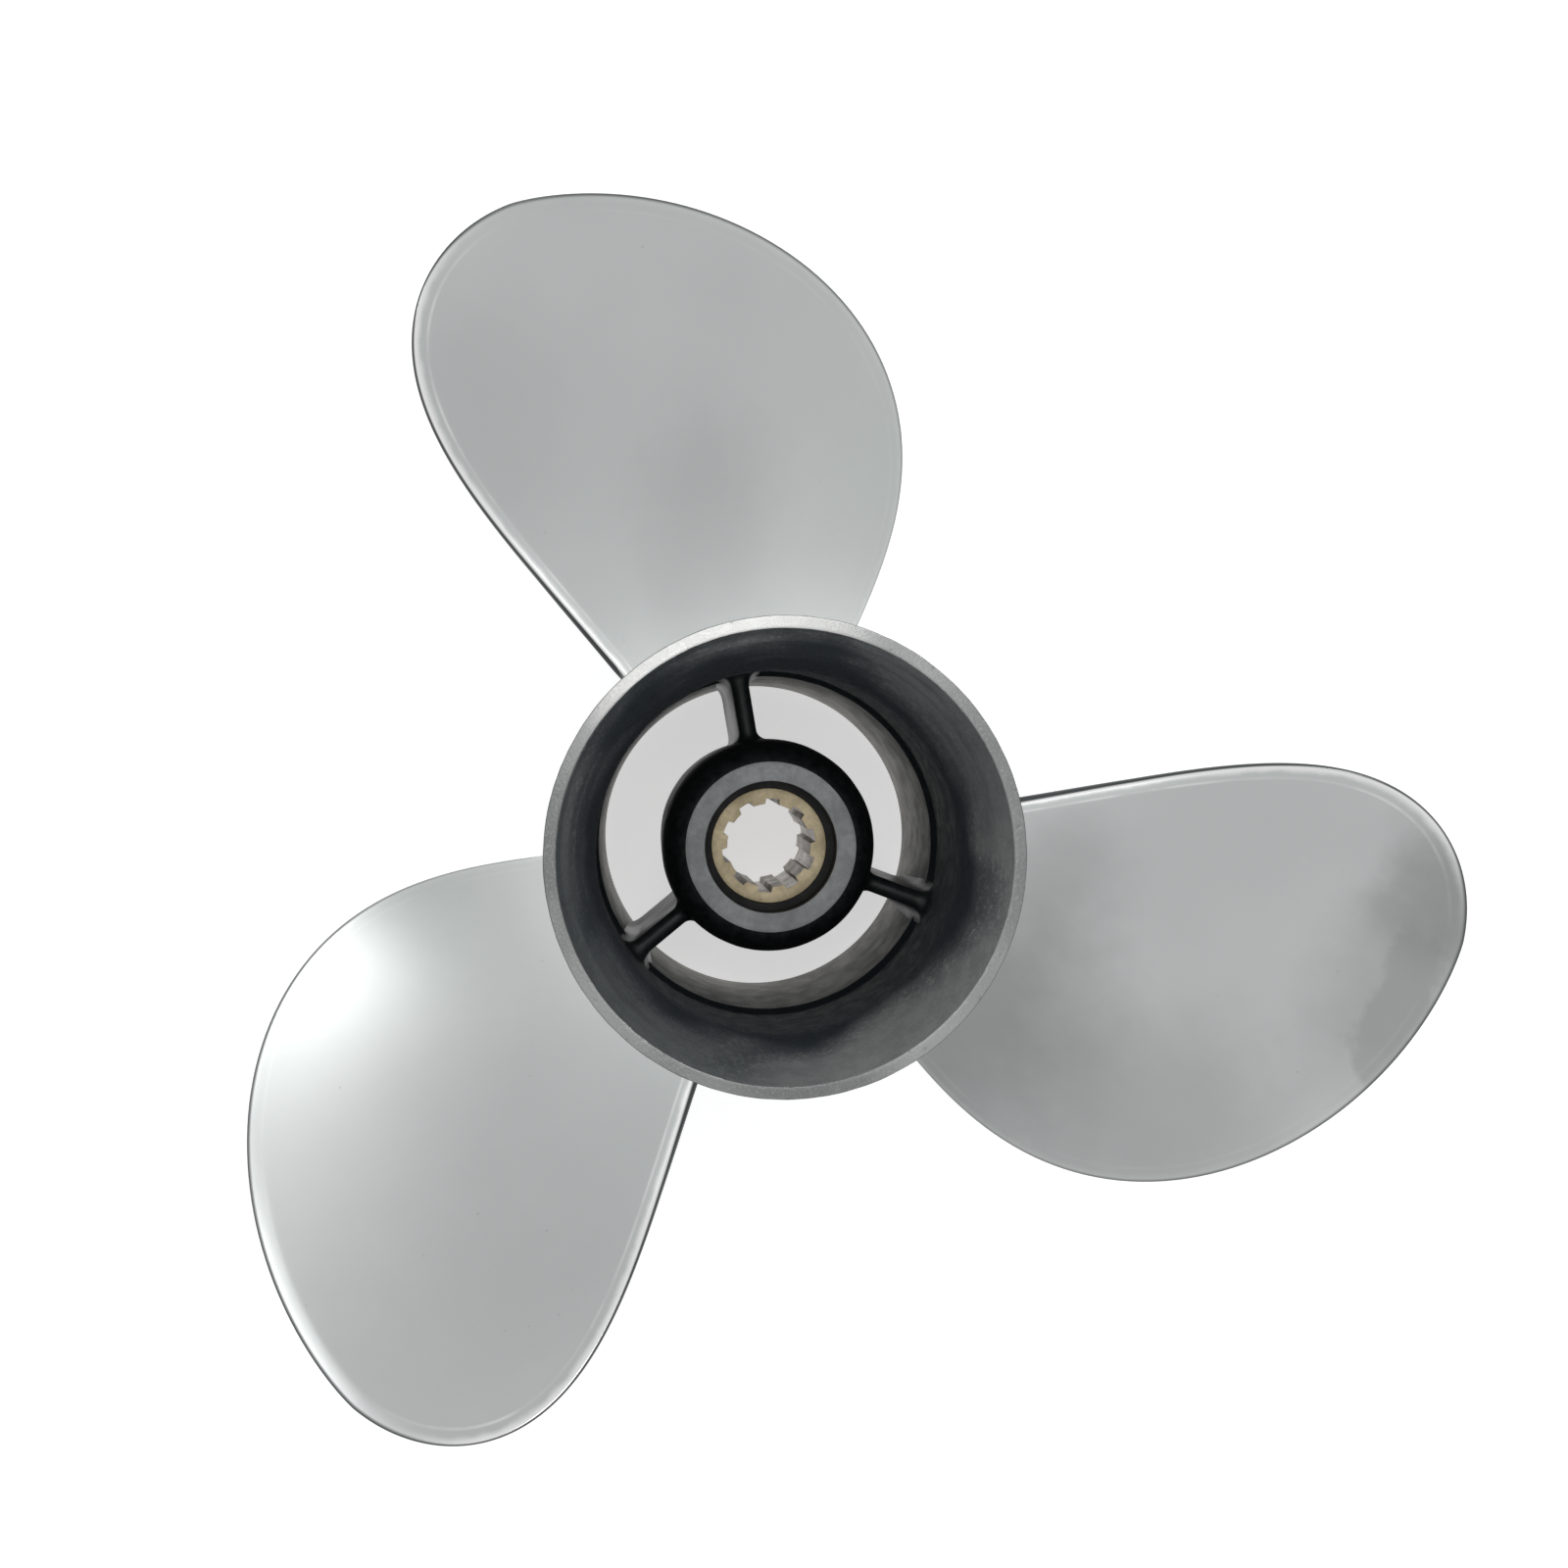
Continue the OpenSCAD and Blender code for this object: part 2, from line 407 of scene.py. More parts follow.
def rgba(colour: Feed) -> Feed:
    """Gives a plain colour its alpha, and passes a socket through."""
    if isinstance(colour, tuple) and len(colour) == 3:
        return (*colour, 1.0)
    return colour


class Effects:
    """Node groups that several finishes share, each built once."""

    def __init__(self) -> None:
        """Builds every group."""
        self.clouds = self._clouds()
        self.grain = self._grain()
        self.pits = self._pits()
        self.edge_shade_highlight = self._edge_shade_highlight()
        self.reflection_patch = self._reflection_patch()

    def _start(self, name: str, inputs: dict[str, str], outputs: dict[str, str]) -> tuple[NodeBoard, dict, dict]:
        """Starts a group with named sockets.

        Args:
            name: Name of the group.
            inputs: Socket kind of each input, by name.
            outputs: Socket kind of each output, by name.

        Returns:
            The board, the input sockets by name and the output sockets by name.
        """
        tree = bpy.data.node_groups.new(name, "ShaderNodeTree")
        for key, kind in inputs.items():
            tree.interface.new_socket(key, in_out="INPUT", socket_type=f"NodeSocket{kind}")
        for key, kind in outputs.items():
            tree.interface.new_socket(key, in_out="OUTPUT", socket_type=f"NodeSocket{kind}")
        board = NodeBoard(tree)
        given = board.add("NodeGroupInput").outputs
        wanted = board.add("NodeGroupOutput").inputs
        return board, {key: given[key] for key in inputs}, {key: wanted[key] for key in outputs}

    def _clouds(self) -> bpy.types.NodeTree:
        """Soft clouds of uneven polish, and a finer mottle over them.

        Returns:
            The group.
        """
        board, given, wanted = self._start(
            "soft clouds", {"Place": "Vector", "Scale": "Float"}, {"Cloud": "Float", "Mottle": "Float"}
        )
        cloud = board.noise(given["Place"], given["Scale"], detail=2.0)
        fine_scale = board.calc("MULTIPLY", given["Scale"], 9.0)
        mottle = board.noise(given["Place"], fine_scale, detail=4.0, rough=0.6)
        board.feed(wanted["Cloud"], board.remap(cloud, 0.3, 0.7))
        board.feed(wanted["Mottle"], board.remap(mottle, 0.3, 0.7))
        return board.tree

    def _grain(self) -> bpy.types.NodeTree:
        """Grain that a sand mould leaves: a height and a mask of its high spots.

        Returns:
            The group.
        """
        board, given, wanted = self._start(
            "cast grain", {"Place": "Vector", "Grains": "Float"}, {"Height": "Float", "Speck": "Float"}
        )
        coarse = board.noise(given["Place"], given["Grains"], detail=3.0, rough=0.65)
        fine = board.noise(given["Place"], board.calc("MULTIPLY", given["Grains"], 3.1), detail=2.0)
        height = board.calc("ADD", coarse, board.calc("MULTIPLY", fine, 0.5))
        board.feed(wanted["Height"], height)
        board.feed(wanted["Speck"], board.remap(height, 0.72, 1.0))
        return board.tree

    def _pits(self) -> bpy.types.NodeTree:
        """Small scattered pits: a mask that is 1 in a pit.

        Returns:
            The group.
        """
        board, given, wanted = self._start(
            "pits", {"Place": "Vector", "Per metre": "Float", "Size": "Float"}, {"Pit": "Float"}
        )
        cells = board.add("ShaderNodeTexVoronoi", feature="F1")
        board.feed(cells.inputs["Vector"], given["Place"])
        board.feed(cells.inputs["Scale"], given["Per metre"])
        size = board.calc("MULTIPLY", given["Size"], board.noise(given["Place"], 40.0, detail=1.0))
        depth = board.calc("SUBTRACT", 1.0, board.calc("DIVIDE", cells.outputs["Distance"], size), clamp=True)
        board.feed(wanted["Pit"], depth)
        return board.tree

    def _edge_shade_highlight(self) -> bpy.types.NodeTree:
        """Marks along an outline: painted shade on the squared edge itself, a painted highlight just inside it, and a
        thin painted highlight line at the cup's crest.

        Returns:
            The group.
        """
        board, given, wanted = self._start(
            "edge shade and highlight",
            {"Place": "Vector", "Inset": "Float", "Width": "Float", "Edge width": "Float", "Crest": "Float"},
            {"Edge": "Float", "Edge highlight": "Float", "Crest": "Float"},
        )
        uneven = board.remap(board.noise(given["Place"], 260.0), 0.3, 0.7, 0.85, 1.15)
        reach = board.calc("MULTIPLY", given["Width"], uneven)
        board.feed(wanted["Edge"], board.remap(given["Inset"], 0.1, given["Edge width"], 1.0, 0.0))
        off_crest = board.calc("ABSOLUTE", board.calc("SUBTRACT", given["Inset"], given["Crest"]))
        faint = board.remap(board.noise(given["Place"], 90.0), 0.4, 0.6, 0.25, 1.0)
        line = board.remap(off_crest, 0.08, 0.42, 1.0, 0.0)
        board.feed(wanted["Crest"], board.calc("MULTIPLY", line, faint))
        board.feed(wanted["Edge highlight"], board.remap(given["Inset"], 0.4, reach, 1.0, 0.0))
        return board.tree

    def _reflection_patch(self) -> bpy.types.NodeTree:
        """A patch of painted reflection along a short line: a mask that is 1 in the patch.

        Returns:
            The group.
        """
        board, given, wanted = self._start(
            "reflection_patch",
            {"Place": "Vector", "Centre": "Vector", "Along": "Vector", "Reach": "Float", "Core": "Float"},
            {"Haze": "Float"},
        )
        away = board.vector("SUBTRACT", given["Place"], given["Centre"])
        run = board.vector("DOT_PRODUCT", away.outputs[0], given["Along"]).outputs["Value"]
        square = board.vector("DOT_PRODUCT", given["Along"], given["Along"]).outputs["Value"]
        share = board.calc("MINIMUM", board.calc("MAXIMUM", board.calc("DIVIDE", run, square), -1.0), 1.0)
        scaled = board.add("ShaderNodeVectorMath", operation="SCALE")
        board.feed(scaled.inputs[0], given["Along"])
        board.feed(scaled.inputs["Scale"], share)
        left = board.vector("SUBTRACT", away.outputs[0], scaled.outputs[0])
        length = board.add("ShaderNodeVectorMath", operation="LENGTH")
        board.feed(length.inputs[0], left.outputs[0])
        uneven = board.calc("SUBTRACT", board.noise(given["Place"], 110.0, detail=4.0, rough=0.6), 0.5)
        distance = board.calc("ADD", length.outputs["Value"], board.calc("MULTIPLY", uneven, 0.010))
        edge = board.calc("MULTIPLY", given["Reach"], given["Core"])
        board.feed(wanted["Haze"], board.remap(distance, edge, given["Reach"], 1.0, 0.0))
        return board.tree


def start_material(name: str) -> tuple[bpy.types.Material, NodeBoard, bpy.types.Node]:
    """Starts a material that holds one Principled shader.

    Args:
        name: Name of the material.

    Returns:
        The material, its board and its shader.
    """
    material = bpy.data.materials.new(name)
    material.use_nodes = True
    board = NodeBoard(material.node_tree)
    shader = material.node_tree.nodes["Principled BSDF"]
    return material, board, shader


def side_share(board: NodeBoard, place: bpy.types.NodeSocket, azimuth: float) -> bpy.types.NodeSocket:
    """Gives how far a place lies to one side of the shaft.

    Args:
        board: Board of the material.
        place: Object coordinates.
        azimuth: Direction of the side, in degrees round the shaft.

    Returns:
        1 on that side, 0 on the far side.
    """
    flat = board.add("ShaderNodeVectorMath", operation="MULTIPLY")
    board.feed(flat.inputs[0], place)
    flat.inputs[1].default_value = (1.0, 1.0, 0.0)
    unit = board.add("ShaderNodeVectorMath", operation="NORMALIZE")
    board.feed(unit.inputs[0], flat.outputs[0])
    along = board.add("ShaderNodeVectorMath", operation="DOT_PRODUCT")
    board.feed(along.inputs[0], unit.outputs[0])
    along.inputs[1].default_value = polar(1.0, azimuth, 0.0)
    return board.calc("ADD", board.calc("MULTIPLY", along.outputs["Value"], 0.5), 0.5)


@dataclass(frozen=True)
class ReflectionPatch:
    """Patch of painted reflection along a short line, in metres: both ends, reach, share held full, and strength."""

    start: Vector
    end: Vector
    reach: float
    core: float
    share: float


@dataclass(frozen=True)
class SatinSteel:
    """Stainless steel with a satin blast finish, as on the blades."""

    effects: Effects
    light: Colour = (0.625, 0.648, 0.642)
    dark: Colour = (0.565, 0.588, 0.585)
    # The edge colour is painted shade on the squared edge wall; the next one is a painted highlight along the edges
    # and at the cup's crest.
    edge: Colour = (0.085, 0.090, 0.092)
    edge_highlight: Colour = (0.985, 0.990, 0.985)
    pit: Colour = (0.300, 0.310, 0.315)
    # Darker colour of the patches of painted reflection on the blades.
    painted_reflection: Colour = (0.296, 0.304, 0.304)
    rough: float = 0.33

    def build(self, name: str) -> bpy.types.Material:
        """Builds the finish.

        Args:
            name: Name of the material.

        Returns:
            The material.
        """
        material, board, shader = start_material(name)
        place = board.place()
        clouds = board.group(self.effects.clouds, Place=place, Scale=16.0).outputs
        pits = board.group(self.effects.pits, Place=place, Per_metre=170.0, Size=0.085).outputs
        trail = board.stored("trail_share")
        edge_shading = board.group(
            self.effects.edge_shade_highlight,
            Place=place,
            Inset=board.stored("inset_mm"),
            Width=1.9,
            Edge_width=board.remap(trail, 0.2, 1.0, 0.85, 0.42),
            Crest=2.75,
        ).outputs
        colour = board.blend(clouds["Cloud"], self.dark, self.light)
        colour = board.blend(board.calc("MULTIPLY", clouds["Mottle"], 0.16), colour, self.dark)
        # Darker patches of painted reflection on the blades.
        for reflection_patch in self.reflection_patches():
            painted_reflection = board.group(
                self.effects.reflection_patch,
                Place=place,
                Centre=(reflection_patch.start + reflection_patch.end) / 2,
                Along=(reflection_patch.end - reflection_patch.start) / 2,
                Reach=reflection_patch.reach,
                Core=reflection_patch.core,
            ).outputs
            colour = board.blend(board.calc("MULTIPLY", painted_reflection["Haze"], reflection_patch.share), colour, self.painted_reflection)
        colour = board.blend(board.calc("MULTIPLY", pits["Pit"], 0.6), colour, self.pit)
        # Painted highlight along the trailing edges and at the cup's crest, then painted shade on the squared edge
        # wall.
        edge_highlight = board.calc("MULTIPLY", edge_shading["Edge highlight"], trail)
        colour = board.blend(board.calc("MULTIPLY", edge_highlight, 0.97), colour, self.edge_highlight)
        crest = board.calc("MULTIPLY", edge_shading["Crest"], board.calc("MULTIPLY", trail, 0.4))
        colour = board.blend(crest, colour, self.edge_highlight)
        colour = board.blend(edge_shading["Edge"], colour, self.edge)
        rough = board.remap(clouds["Cloud"], 0.0, 1.0, self.rough + 0.05, self.rough)
        rough = board.calc("SUBTRACT", rough, board.calc("MULTIPLY", edge_highlight, 0.2))
        grain = board.group(self.effects.grain, Place=place, Grains=1400.0).outputs
        bump = board.add("ShaderNodeBump")
        bump.inputs["Strength"].default_value = 0.12
        bump.inputs["Distance"].default_value = 0.00003
        board.feed(bump.inputs["Height"], board.calc("SUBTRACT", grain["Height"], pits["Pit"]))
        shader.inputs["Metallic"].default_value = 1.0
        board.feed(shader.inputs["Base Color"], colour)
        board.feed(shader.inputs["Roughness"], rough)
        board.feed(shader.inputs["Normal"], bump.outputs["Normal"])
        return material

    @staticmethod
    def reflection_patches() -> tuple[ReflectionPatch, ...]:
        """Gives the darker patches of painted reflection on the blades.

        Returns:
            The smears.
        """
        return (
            ReflectionPatch(polar(0.1110, 245.0, 0.068), polar(0.1092, 239.0, 0.063), 0.0220, 0.10, 0.40),
            ReflectionPatch(polar(0.1107, 244.5, 0.068), polar(0.1087, 235.0, 0.061), 0.0062, 0.55, 0.34),
            ReflectionPatch(polar(0.1140, 252.0, 0.074), polar(0.1140, 250.0, 0.073), 0.0170, 0.10, 0.66),
            ReflectionPatch(polar(0.0440, 206.0, 0.022), polar(0.0440, 218.0, 0.030), 0.0400, 0.10, 0.85),
            ReflectionPatch(polar(0.0480, 248.0, 0.049), polar(0.0480, 252.0, 0.051), 0.0220, 0.10, 0.42),
            ReflectionPatch(polar(0.0750, 217.0, 0.038), polar(0.0850, 221.0, 0.046), 0.0300, 0.10, 0.38),
            ReflectionPatch(polar(0.0460, -2.0, 0.042), polar(0.0620, -4.0, 0.044), 0.0240, 0.10, 0.22),
            ReflectionPatch(polar(0.0850, 22.0, 0.064), polar(0.0980, 18.0, 0.066), 0.0240, 0.10, 0.14),
            ReflectionPatch(polar(0.0950, 134.0, 0.062), polar(0.1100, 130.0, 0.068), 0.0400, 0.10, 0.28),
        )


@dataclass(frozen=True)
class CastSteel:
    """Cast steel left grainy, cleaned but not polished."""

    effects: Effects
    light: Colour = (0.50, 0.51, 0.50)
    dark: Colour = (0.30, 0.31, 0.31)
    rough: float = 0.5
    depth: float = 0.00012
    grains: float = 900.0
    pit_size: float = 0.2
    # A pale colour on one side of the piece, a painted highlight; its side is in degrees round the shaft, or None for
    # none.
    painted_highlight: Colour = (0.92, 0.925, 0.91)
    highlight_side: float | None = None

    def build(self, name: str) -> bpy.types.Material:
        """Builds the finish.

        Args:
            name: Name of the material.

        Returns:
            The material.
        """
        material, board, shader = start_material(name)
        place = board.place()
        clouds = board.group(self.effects.clouds, Place=place, Scale=30.0).outputs
        grain = board.group(self.effects.grain, Place=place, Grains=self.grains).outputs
        pits = board.group(self.effects.pits, Place=place, Per_metre=420.0, Size=self.pit_size).outputs
        colour = board.blend(clouds["Cloud"], self.dark, self.light)
        colour = board.blend(board.calc("MULTIPLY", grain["Speck"], 0.5), colour, self.light)
        # Painted highlight on one side.
        if self.highlight_side is not None:
            painted_highlight = board.remap(side_share(board, place, self.highlight_side), 0.84, 1.0, 0.0, 0.8)
            colour = board.blend(painted_highlight, colour, self.painted_highlight)
        colour = board.blend(board.calc("MULTIPLY", pits["Pit"], 0.6), colour, self.dark)
        bump = board.add("ShaderNodeBump")
        bump.inputs["Strength"].default_value = 0.5
        bump.inputs["Distance"].default_value = self.depth
        board.feed(bump.inputs["Height"], board.calc("SUBTRACT", grain["Height"], pits["Pit"]))
        shader.inputs["Metallic"].default_value = 1.0
        board.feed(shader.inputs["Base Color"], colour)
        board.feed(shader.inputs["Roughness"], board.remap(clouds["Mottle"], 0.0, 1.0, self.rough, self.rough + 0.12))
        board.feed(shader.inputs["Normal"], bump.outputs["Normal"])
        return material


@dataclass(frozen=True)
class SideShade:
    """Painted shade on one side of the cavity, in the paint's colour: its angle, where it starts, and its strength."""

    side: float
    start: float
    share: float


@dataclass(frozen=True)
class SprayedCavity:
    """Grainy casting with dark paint drifted in from the hub, thinning towards the lip, with painted shade on some
    sides of the cavity and painted light on another.
    """

    effects: Effects
    paint_z: float
    bare_z: float
    # Sides of painted light and painted shade, in degrees round the shaft, and how far the paint's edge moves with
    # them.
    painted_lit_side: float = -155.0
    side_shift: float = 3.4
    ring_shade_side: float = 15.0
    side_shades: tuple[SideShade, ...] = (SideShade(108.0, 0.60, 0.58), SideShade(-58.0, 0.78, 0.40))
    paint: Colour = (0.012, 0.0175, 0.023)
    bare: Colour = (0.188, 0.200, 0.196)

    def build(self, name: str) -> bpy.types.Material:
        """Builds the finish.

        Args:
            name: Name of the material.

        Returns:
            The material.
        """
        material, board, shader = start_material(name)
        place = board.place()
        split = board.add("ShaderNodeSeparateXYZ")
        board.feed(split.inputs[0], place)
        clouds = board.group(self.effects.clouds, Place=place, Scale=42.0).outputs
        grain = board.group(self.effects.grain, Place=place, Grains=1050.0).outputs
        drift = board.calc("MULTIPLY", board.calc("SUBTRACT", clouds["Cloud"], 0.5), 0.012)
        # The paint's edge moves by side: painted light on one side, painted shade on the other.
        sideways = side_share(board, place, self.painted_lit_side)
        tilt = board.calc("MULTIPLY", board.calc("SUBTRACT", sideways, 0.5), 2 * self.side_shift * MM)
        height = board.calc("ADD", board.calc("ADD", split.outputs["Z"], drift), tilt)
        bare_and_lit_share = board.remap(height, self.paint_z * MM, self.bare_z * MM)
        sand = board.calc("MULTIPLY", board.calc("MULTIPLY", grain["Speck"], bare_and_lit_share), 1.2)
        colour = board.blend(board.calc("ADD", bare_and_lit_share, sand), self.paint, self.bare)
        # Faint rings, kept to one side of the cavity as painted shade.
        rings = board.calc("MULTIPLY", self.rings(board, place), side_share(board, place, self.ring_shade_side))
        colour = board.blend(board.calc("MULTIPLY", rings, 0.6), colour, self.paint)
        # Painted shade on some sides of the cavity.
        for side_shade in self.side_shades:
            painted_shade = board.remap(side_share(board, place, side_shade.side), side_shade.start, 1.0, 0.0, side_shade.share)
            colour = board.blend(painted_shade, colour, self.paint)
        colour = board.blend(board.calc("MULTIPLY", clouds["Mottle"], 0.25), colour, self.paint)
        bump = board.add("ShaderNodeBump")
        bump.inputs["Strength"].default_value = 0.7
        bump.inputs["Distance"].default_value = 0.00022
        board.feed(bump.inputs["Height"], grain["Height"])
        shader.inputs["Metallic"].default_value = 0.0
        board.feed(shader.inputs["Base Color"], colour)
        board.feed(shader.inputs["Roughness"], board.remap(clouds["Mottle"], 0.0, 1.0, 0.55, 0.72))
        board.feed(shader.inputs["Normal"], bump.outputs["Normal"])
        return material

    @staticmethod
    def rings(board: NodeBoard, place: bpy.types.NodeSocket) -> bpy.types.NodeSocket:
        """Gives a mask of the faint rings that the pattern left round the flare.

        Args:
            board: Board of the material.
            place: Object coordinates.

        Returns:
            The mask.
        """
        split = board.add("ShaderNodeSeparateXYZ")
        board.feed(split.inputs[0], place)
        x, y, z = split.outputs
        radius = board.calc("SQRT", board.calc("ADD", board.calc("MULTIPLY", x, x), board.calc("MULTIPLY", y, y)))
        joined = board.add("ShaderNodeCombineXYZ")
        board.feed(joined.inputs["X"], radius)
        board.feed(joined.inputs["Y"], z)
        board.feed(joined.inputs["Z"], board.calc("MULTIPLY", board.calc("ADD", x, y), 0.06))
        return board.remap(board.noise(joined.outputs[0], 420.0, detail=1.0), 0.42, 0.62)


@dataclass(frozen=True)
class BlackPaint:
    """Black paint with a satin gloss over a slightly uneven casting."""

    effects: Effects
    colour: Colour = (0.006, 0.007, 0.0075)
    dust: Colour = (0.030, 0.033, 0.035)
    rough: float = 0.42
    specular: float = 0.16

    def build(self, name: str) -> bpy.types.Material:
        """Builds the finish.

        Args:
            name: Name of the material.

        Returns:
            The material.
        """
        material, board, shader = start_material(name)
        place = board.place()
        clouds = board.group(self.effects.clouds, Place=place, Scale=70.0).outputs
        grain = board.group(self.effects.grain, Place=place, Grains=700.0).outputs
        colour = board.blend(board.calc("MULTIPLY", clouds["Mottle"], 0.5), self.colour, self.dust)
        bump = board.add("ShaderNodeBump")
        bump.inputs["Strength"].default_value = 0.35
        bump.inputs["Distance"].default_value = 0.00008
        board.feed(bump.inputs["Height"], grain["Height"])
        board.feed(shader.inputs["Base Color"], colour)
        shader.inputs["Specular IOR Level"].default_value = self.specular
        board.feed(shader.inputs["Roughness"], board.remap(clouds["Cloud"], 0.0, 1.0, self.rough, self.rough + 0.14))
        board.feed(shader.inputs["Normal"], bump.outputs["Normal"])
        return material


@dataclass(frozen=True)
class FacedMetal:
    """Metal faced or broached in a machine, dulled and mottled since."""

    effects: Effects
    light: Colour
    dark: Colour
    metallic: float = 1.0
    rough: float = 0.5
    grains: float = 1100.0
    depth: float = 0.0001

    def build(self, name: str) -> bpy.types.Material:
        """Builds the finish.

        Args:
            name: Name of the material.

        Returns:
            The material.
        """
        material, board, shader = start_material(name)
        place = board.place()
        clouds = board.group(self.effects.clouds, Place=place, Scale=110.0).outputs
        grain = board.group(self.effects.grain, Place=place, Grains=self.grains).outputs
        pits = board.group(self.effects.pits, Place=place, Per_metre=700.0, Size=0.3).outputs
        colour = board.blend(clouds["Cloud"], self.dark, self.light)
        colour = board.blend(board.calc("MULTIPLY", clouds["Mottle"], 0.45), colour, self.dark)
        colour = board.blend(board.calc("MULTIPLY", grain["Speck"], 0.4), colour, self.light)
        colour = board.blend(board.calc("MULTIPLY", pits["Pit"], 0.4), colour, self.dark)
        bump = board.add("ShaderNodeBump")
        bump.inputs["Strength"].default_value = 0.4
        bump.inputs["Distance"].default_value = self.depth
        board.feed(bump.inputs["Height"], grain["Height"])
        shader.inputs["Metallic"].default_value = self.metallic
        board.feed(shader.inputs["Base Color"], colour)
        board.feed(shader.inputs["Roughness"], board.remap(clouds["Mottle"], 0.0, 1.0, self.rough, self.rough + 0.15))
        board.feed(shader.inputs["Normal"], bump.outputs["Normal"])
        return material


@dataclass(frozen=True)
class Broached:
    """Spline walls, streaked along the shaft by the broach."""

    effects: Effects
    # The pale default colours are partly painted light in the dim bore.
    light: Colour = (0.97, 0.91, 0.86)
    dark: Colour = (0.66, 0.60, 0.56)

    def build(self, name: str) -> bpy.types.Material:
        """Builds the finish.

        Args:
            name: Name of the material.

        Returns:
            The material.
        """
        material, board, shader = start_material(name)
        stretch = board.add("ShaderNodeMapping")
        board.feed(stretch.inputs["Vector"], board.place())
        stretch.inputs["Scale"].default_value = (1.0, 1.0, 0.05)
        streaks = board.noise(stretch.outputs[0], 1300.0, detail=3.0)
        clouds = board.group(self.effects.clouds, Place=board.place(), Scale=120.0).outputs
        streak = board.remap(streaks, 0.35, 0.65)
        colour = board.blend(streak, self.dark, self.light)
        colour = board.blend(board.calc("MULTIPLY", clouds["Mottle"], 0.3), colour, self.dark)
        bump = board.add("ShaderNodeBump")
        bump.inputs["Strength"].default_value = 0.35
        bump.inputs["Distance"].default_value = 0.00005
        board.feed(bump.inputs["Height"], streak)
        shader.inputs["Metallic"].default_value = 0.45
        board.feed(shader.inputs["Base Color"], colour)
        board.feed(shader.inputs["Roughness"], board.remap(clouds["Cloud"], 0.0, 1.0, 0.3, 0.45))
        board.feed(shader.inputs["Normal"], bump.outputs["Normal"])
        return material


@dataclass(frozen=True)
class BushRubber:
    """Black moulded rubber with a faint bloom."""

    effects: Effects

    def build(self, name: str) -> bpy.types.Material:
        """Builds the finish.

        Args:
            name: Name of the material.

        Returns:
            The material.
        """
        material, board, shader = start_material(name)
        place = board.place()
        clouds = board.group(self.effects.clouds, Place=place, Scale=90.0).outputs
        grain = board.group(self.effects.grain, Place=place, Grains=1500.0).outputs
        bump = board.add("ShaderNodeBump")
        bump.inputs["Strength"].default_value = 0.3
        bump.inputs["Distance"].default_value = 0.00005
        board.feed(bump.inputs["Height"], grain["Height"])
        colour = board.blend(clouds["Mottle"], (0.010, 0.010, 0.010), (0.022, 0.022, 0.021))
        board.feed(shader.inputs["Base Color"], colour)
        board.feed(shader.inputs["Roughness"], board.remap(clouds["Cloud"], 0.0, 1.0, 0.62, 0.78))
        board.feed(shader.inputs["Normal"], bump.outputs["Normal"])
        return material


# ---- the casting's turned shell ----


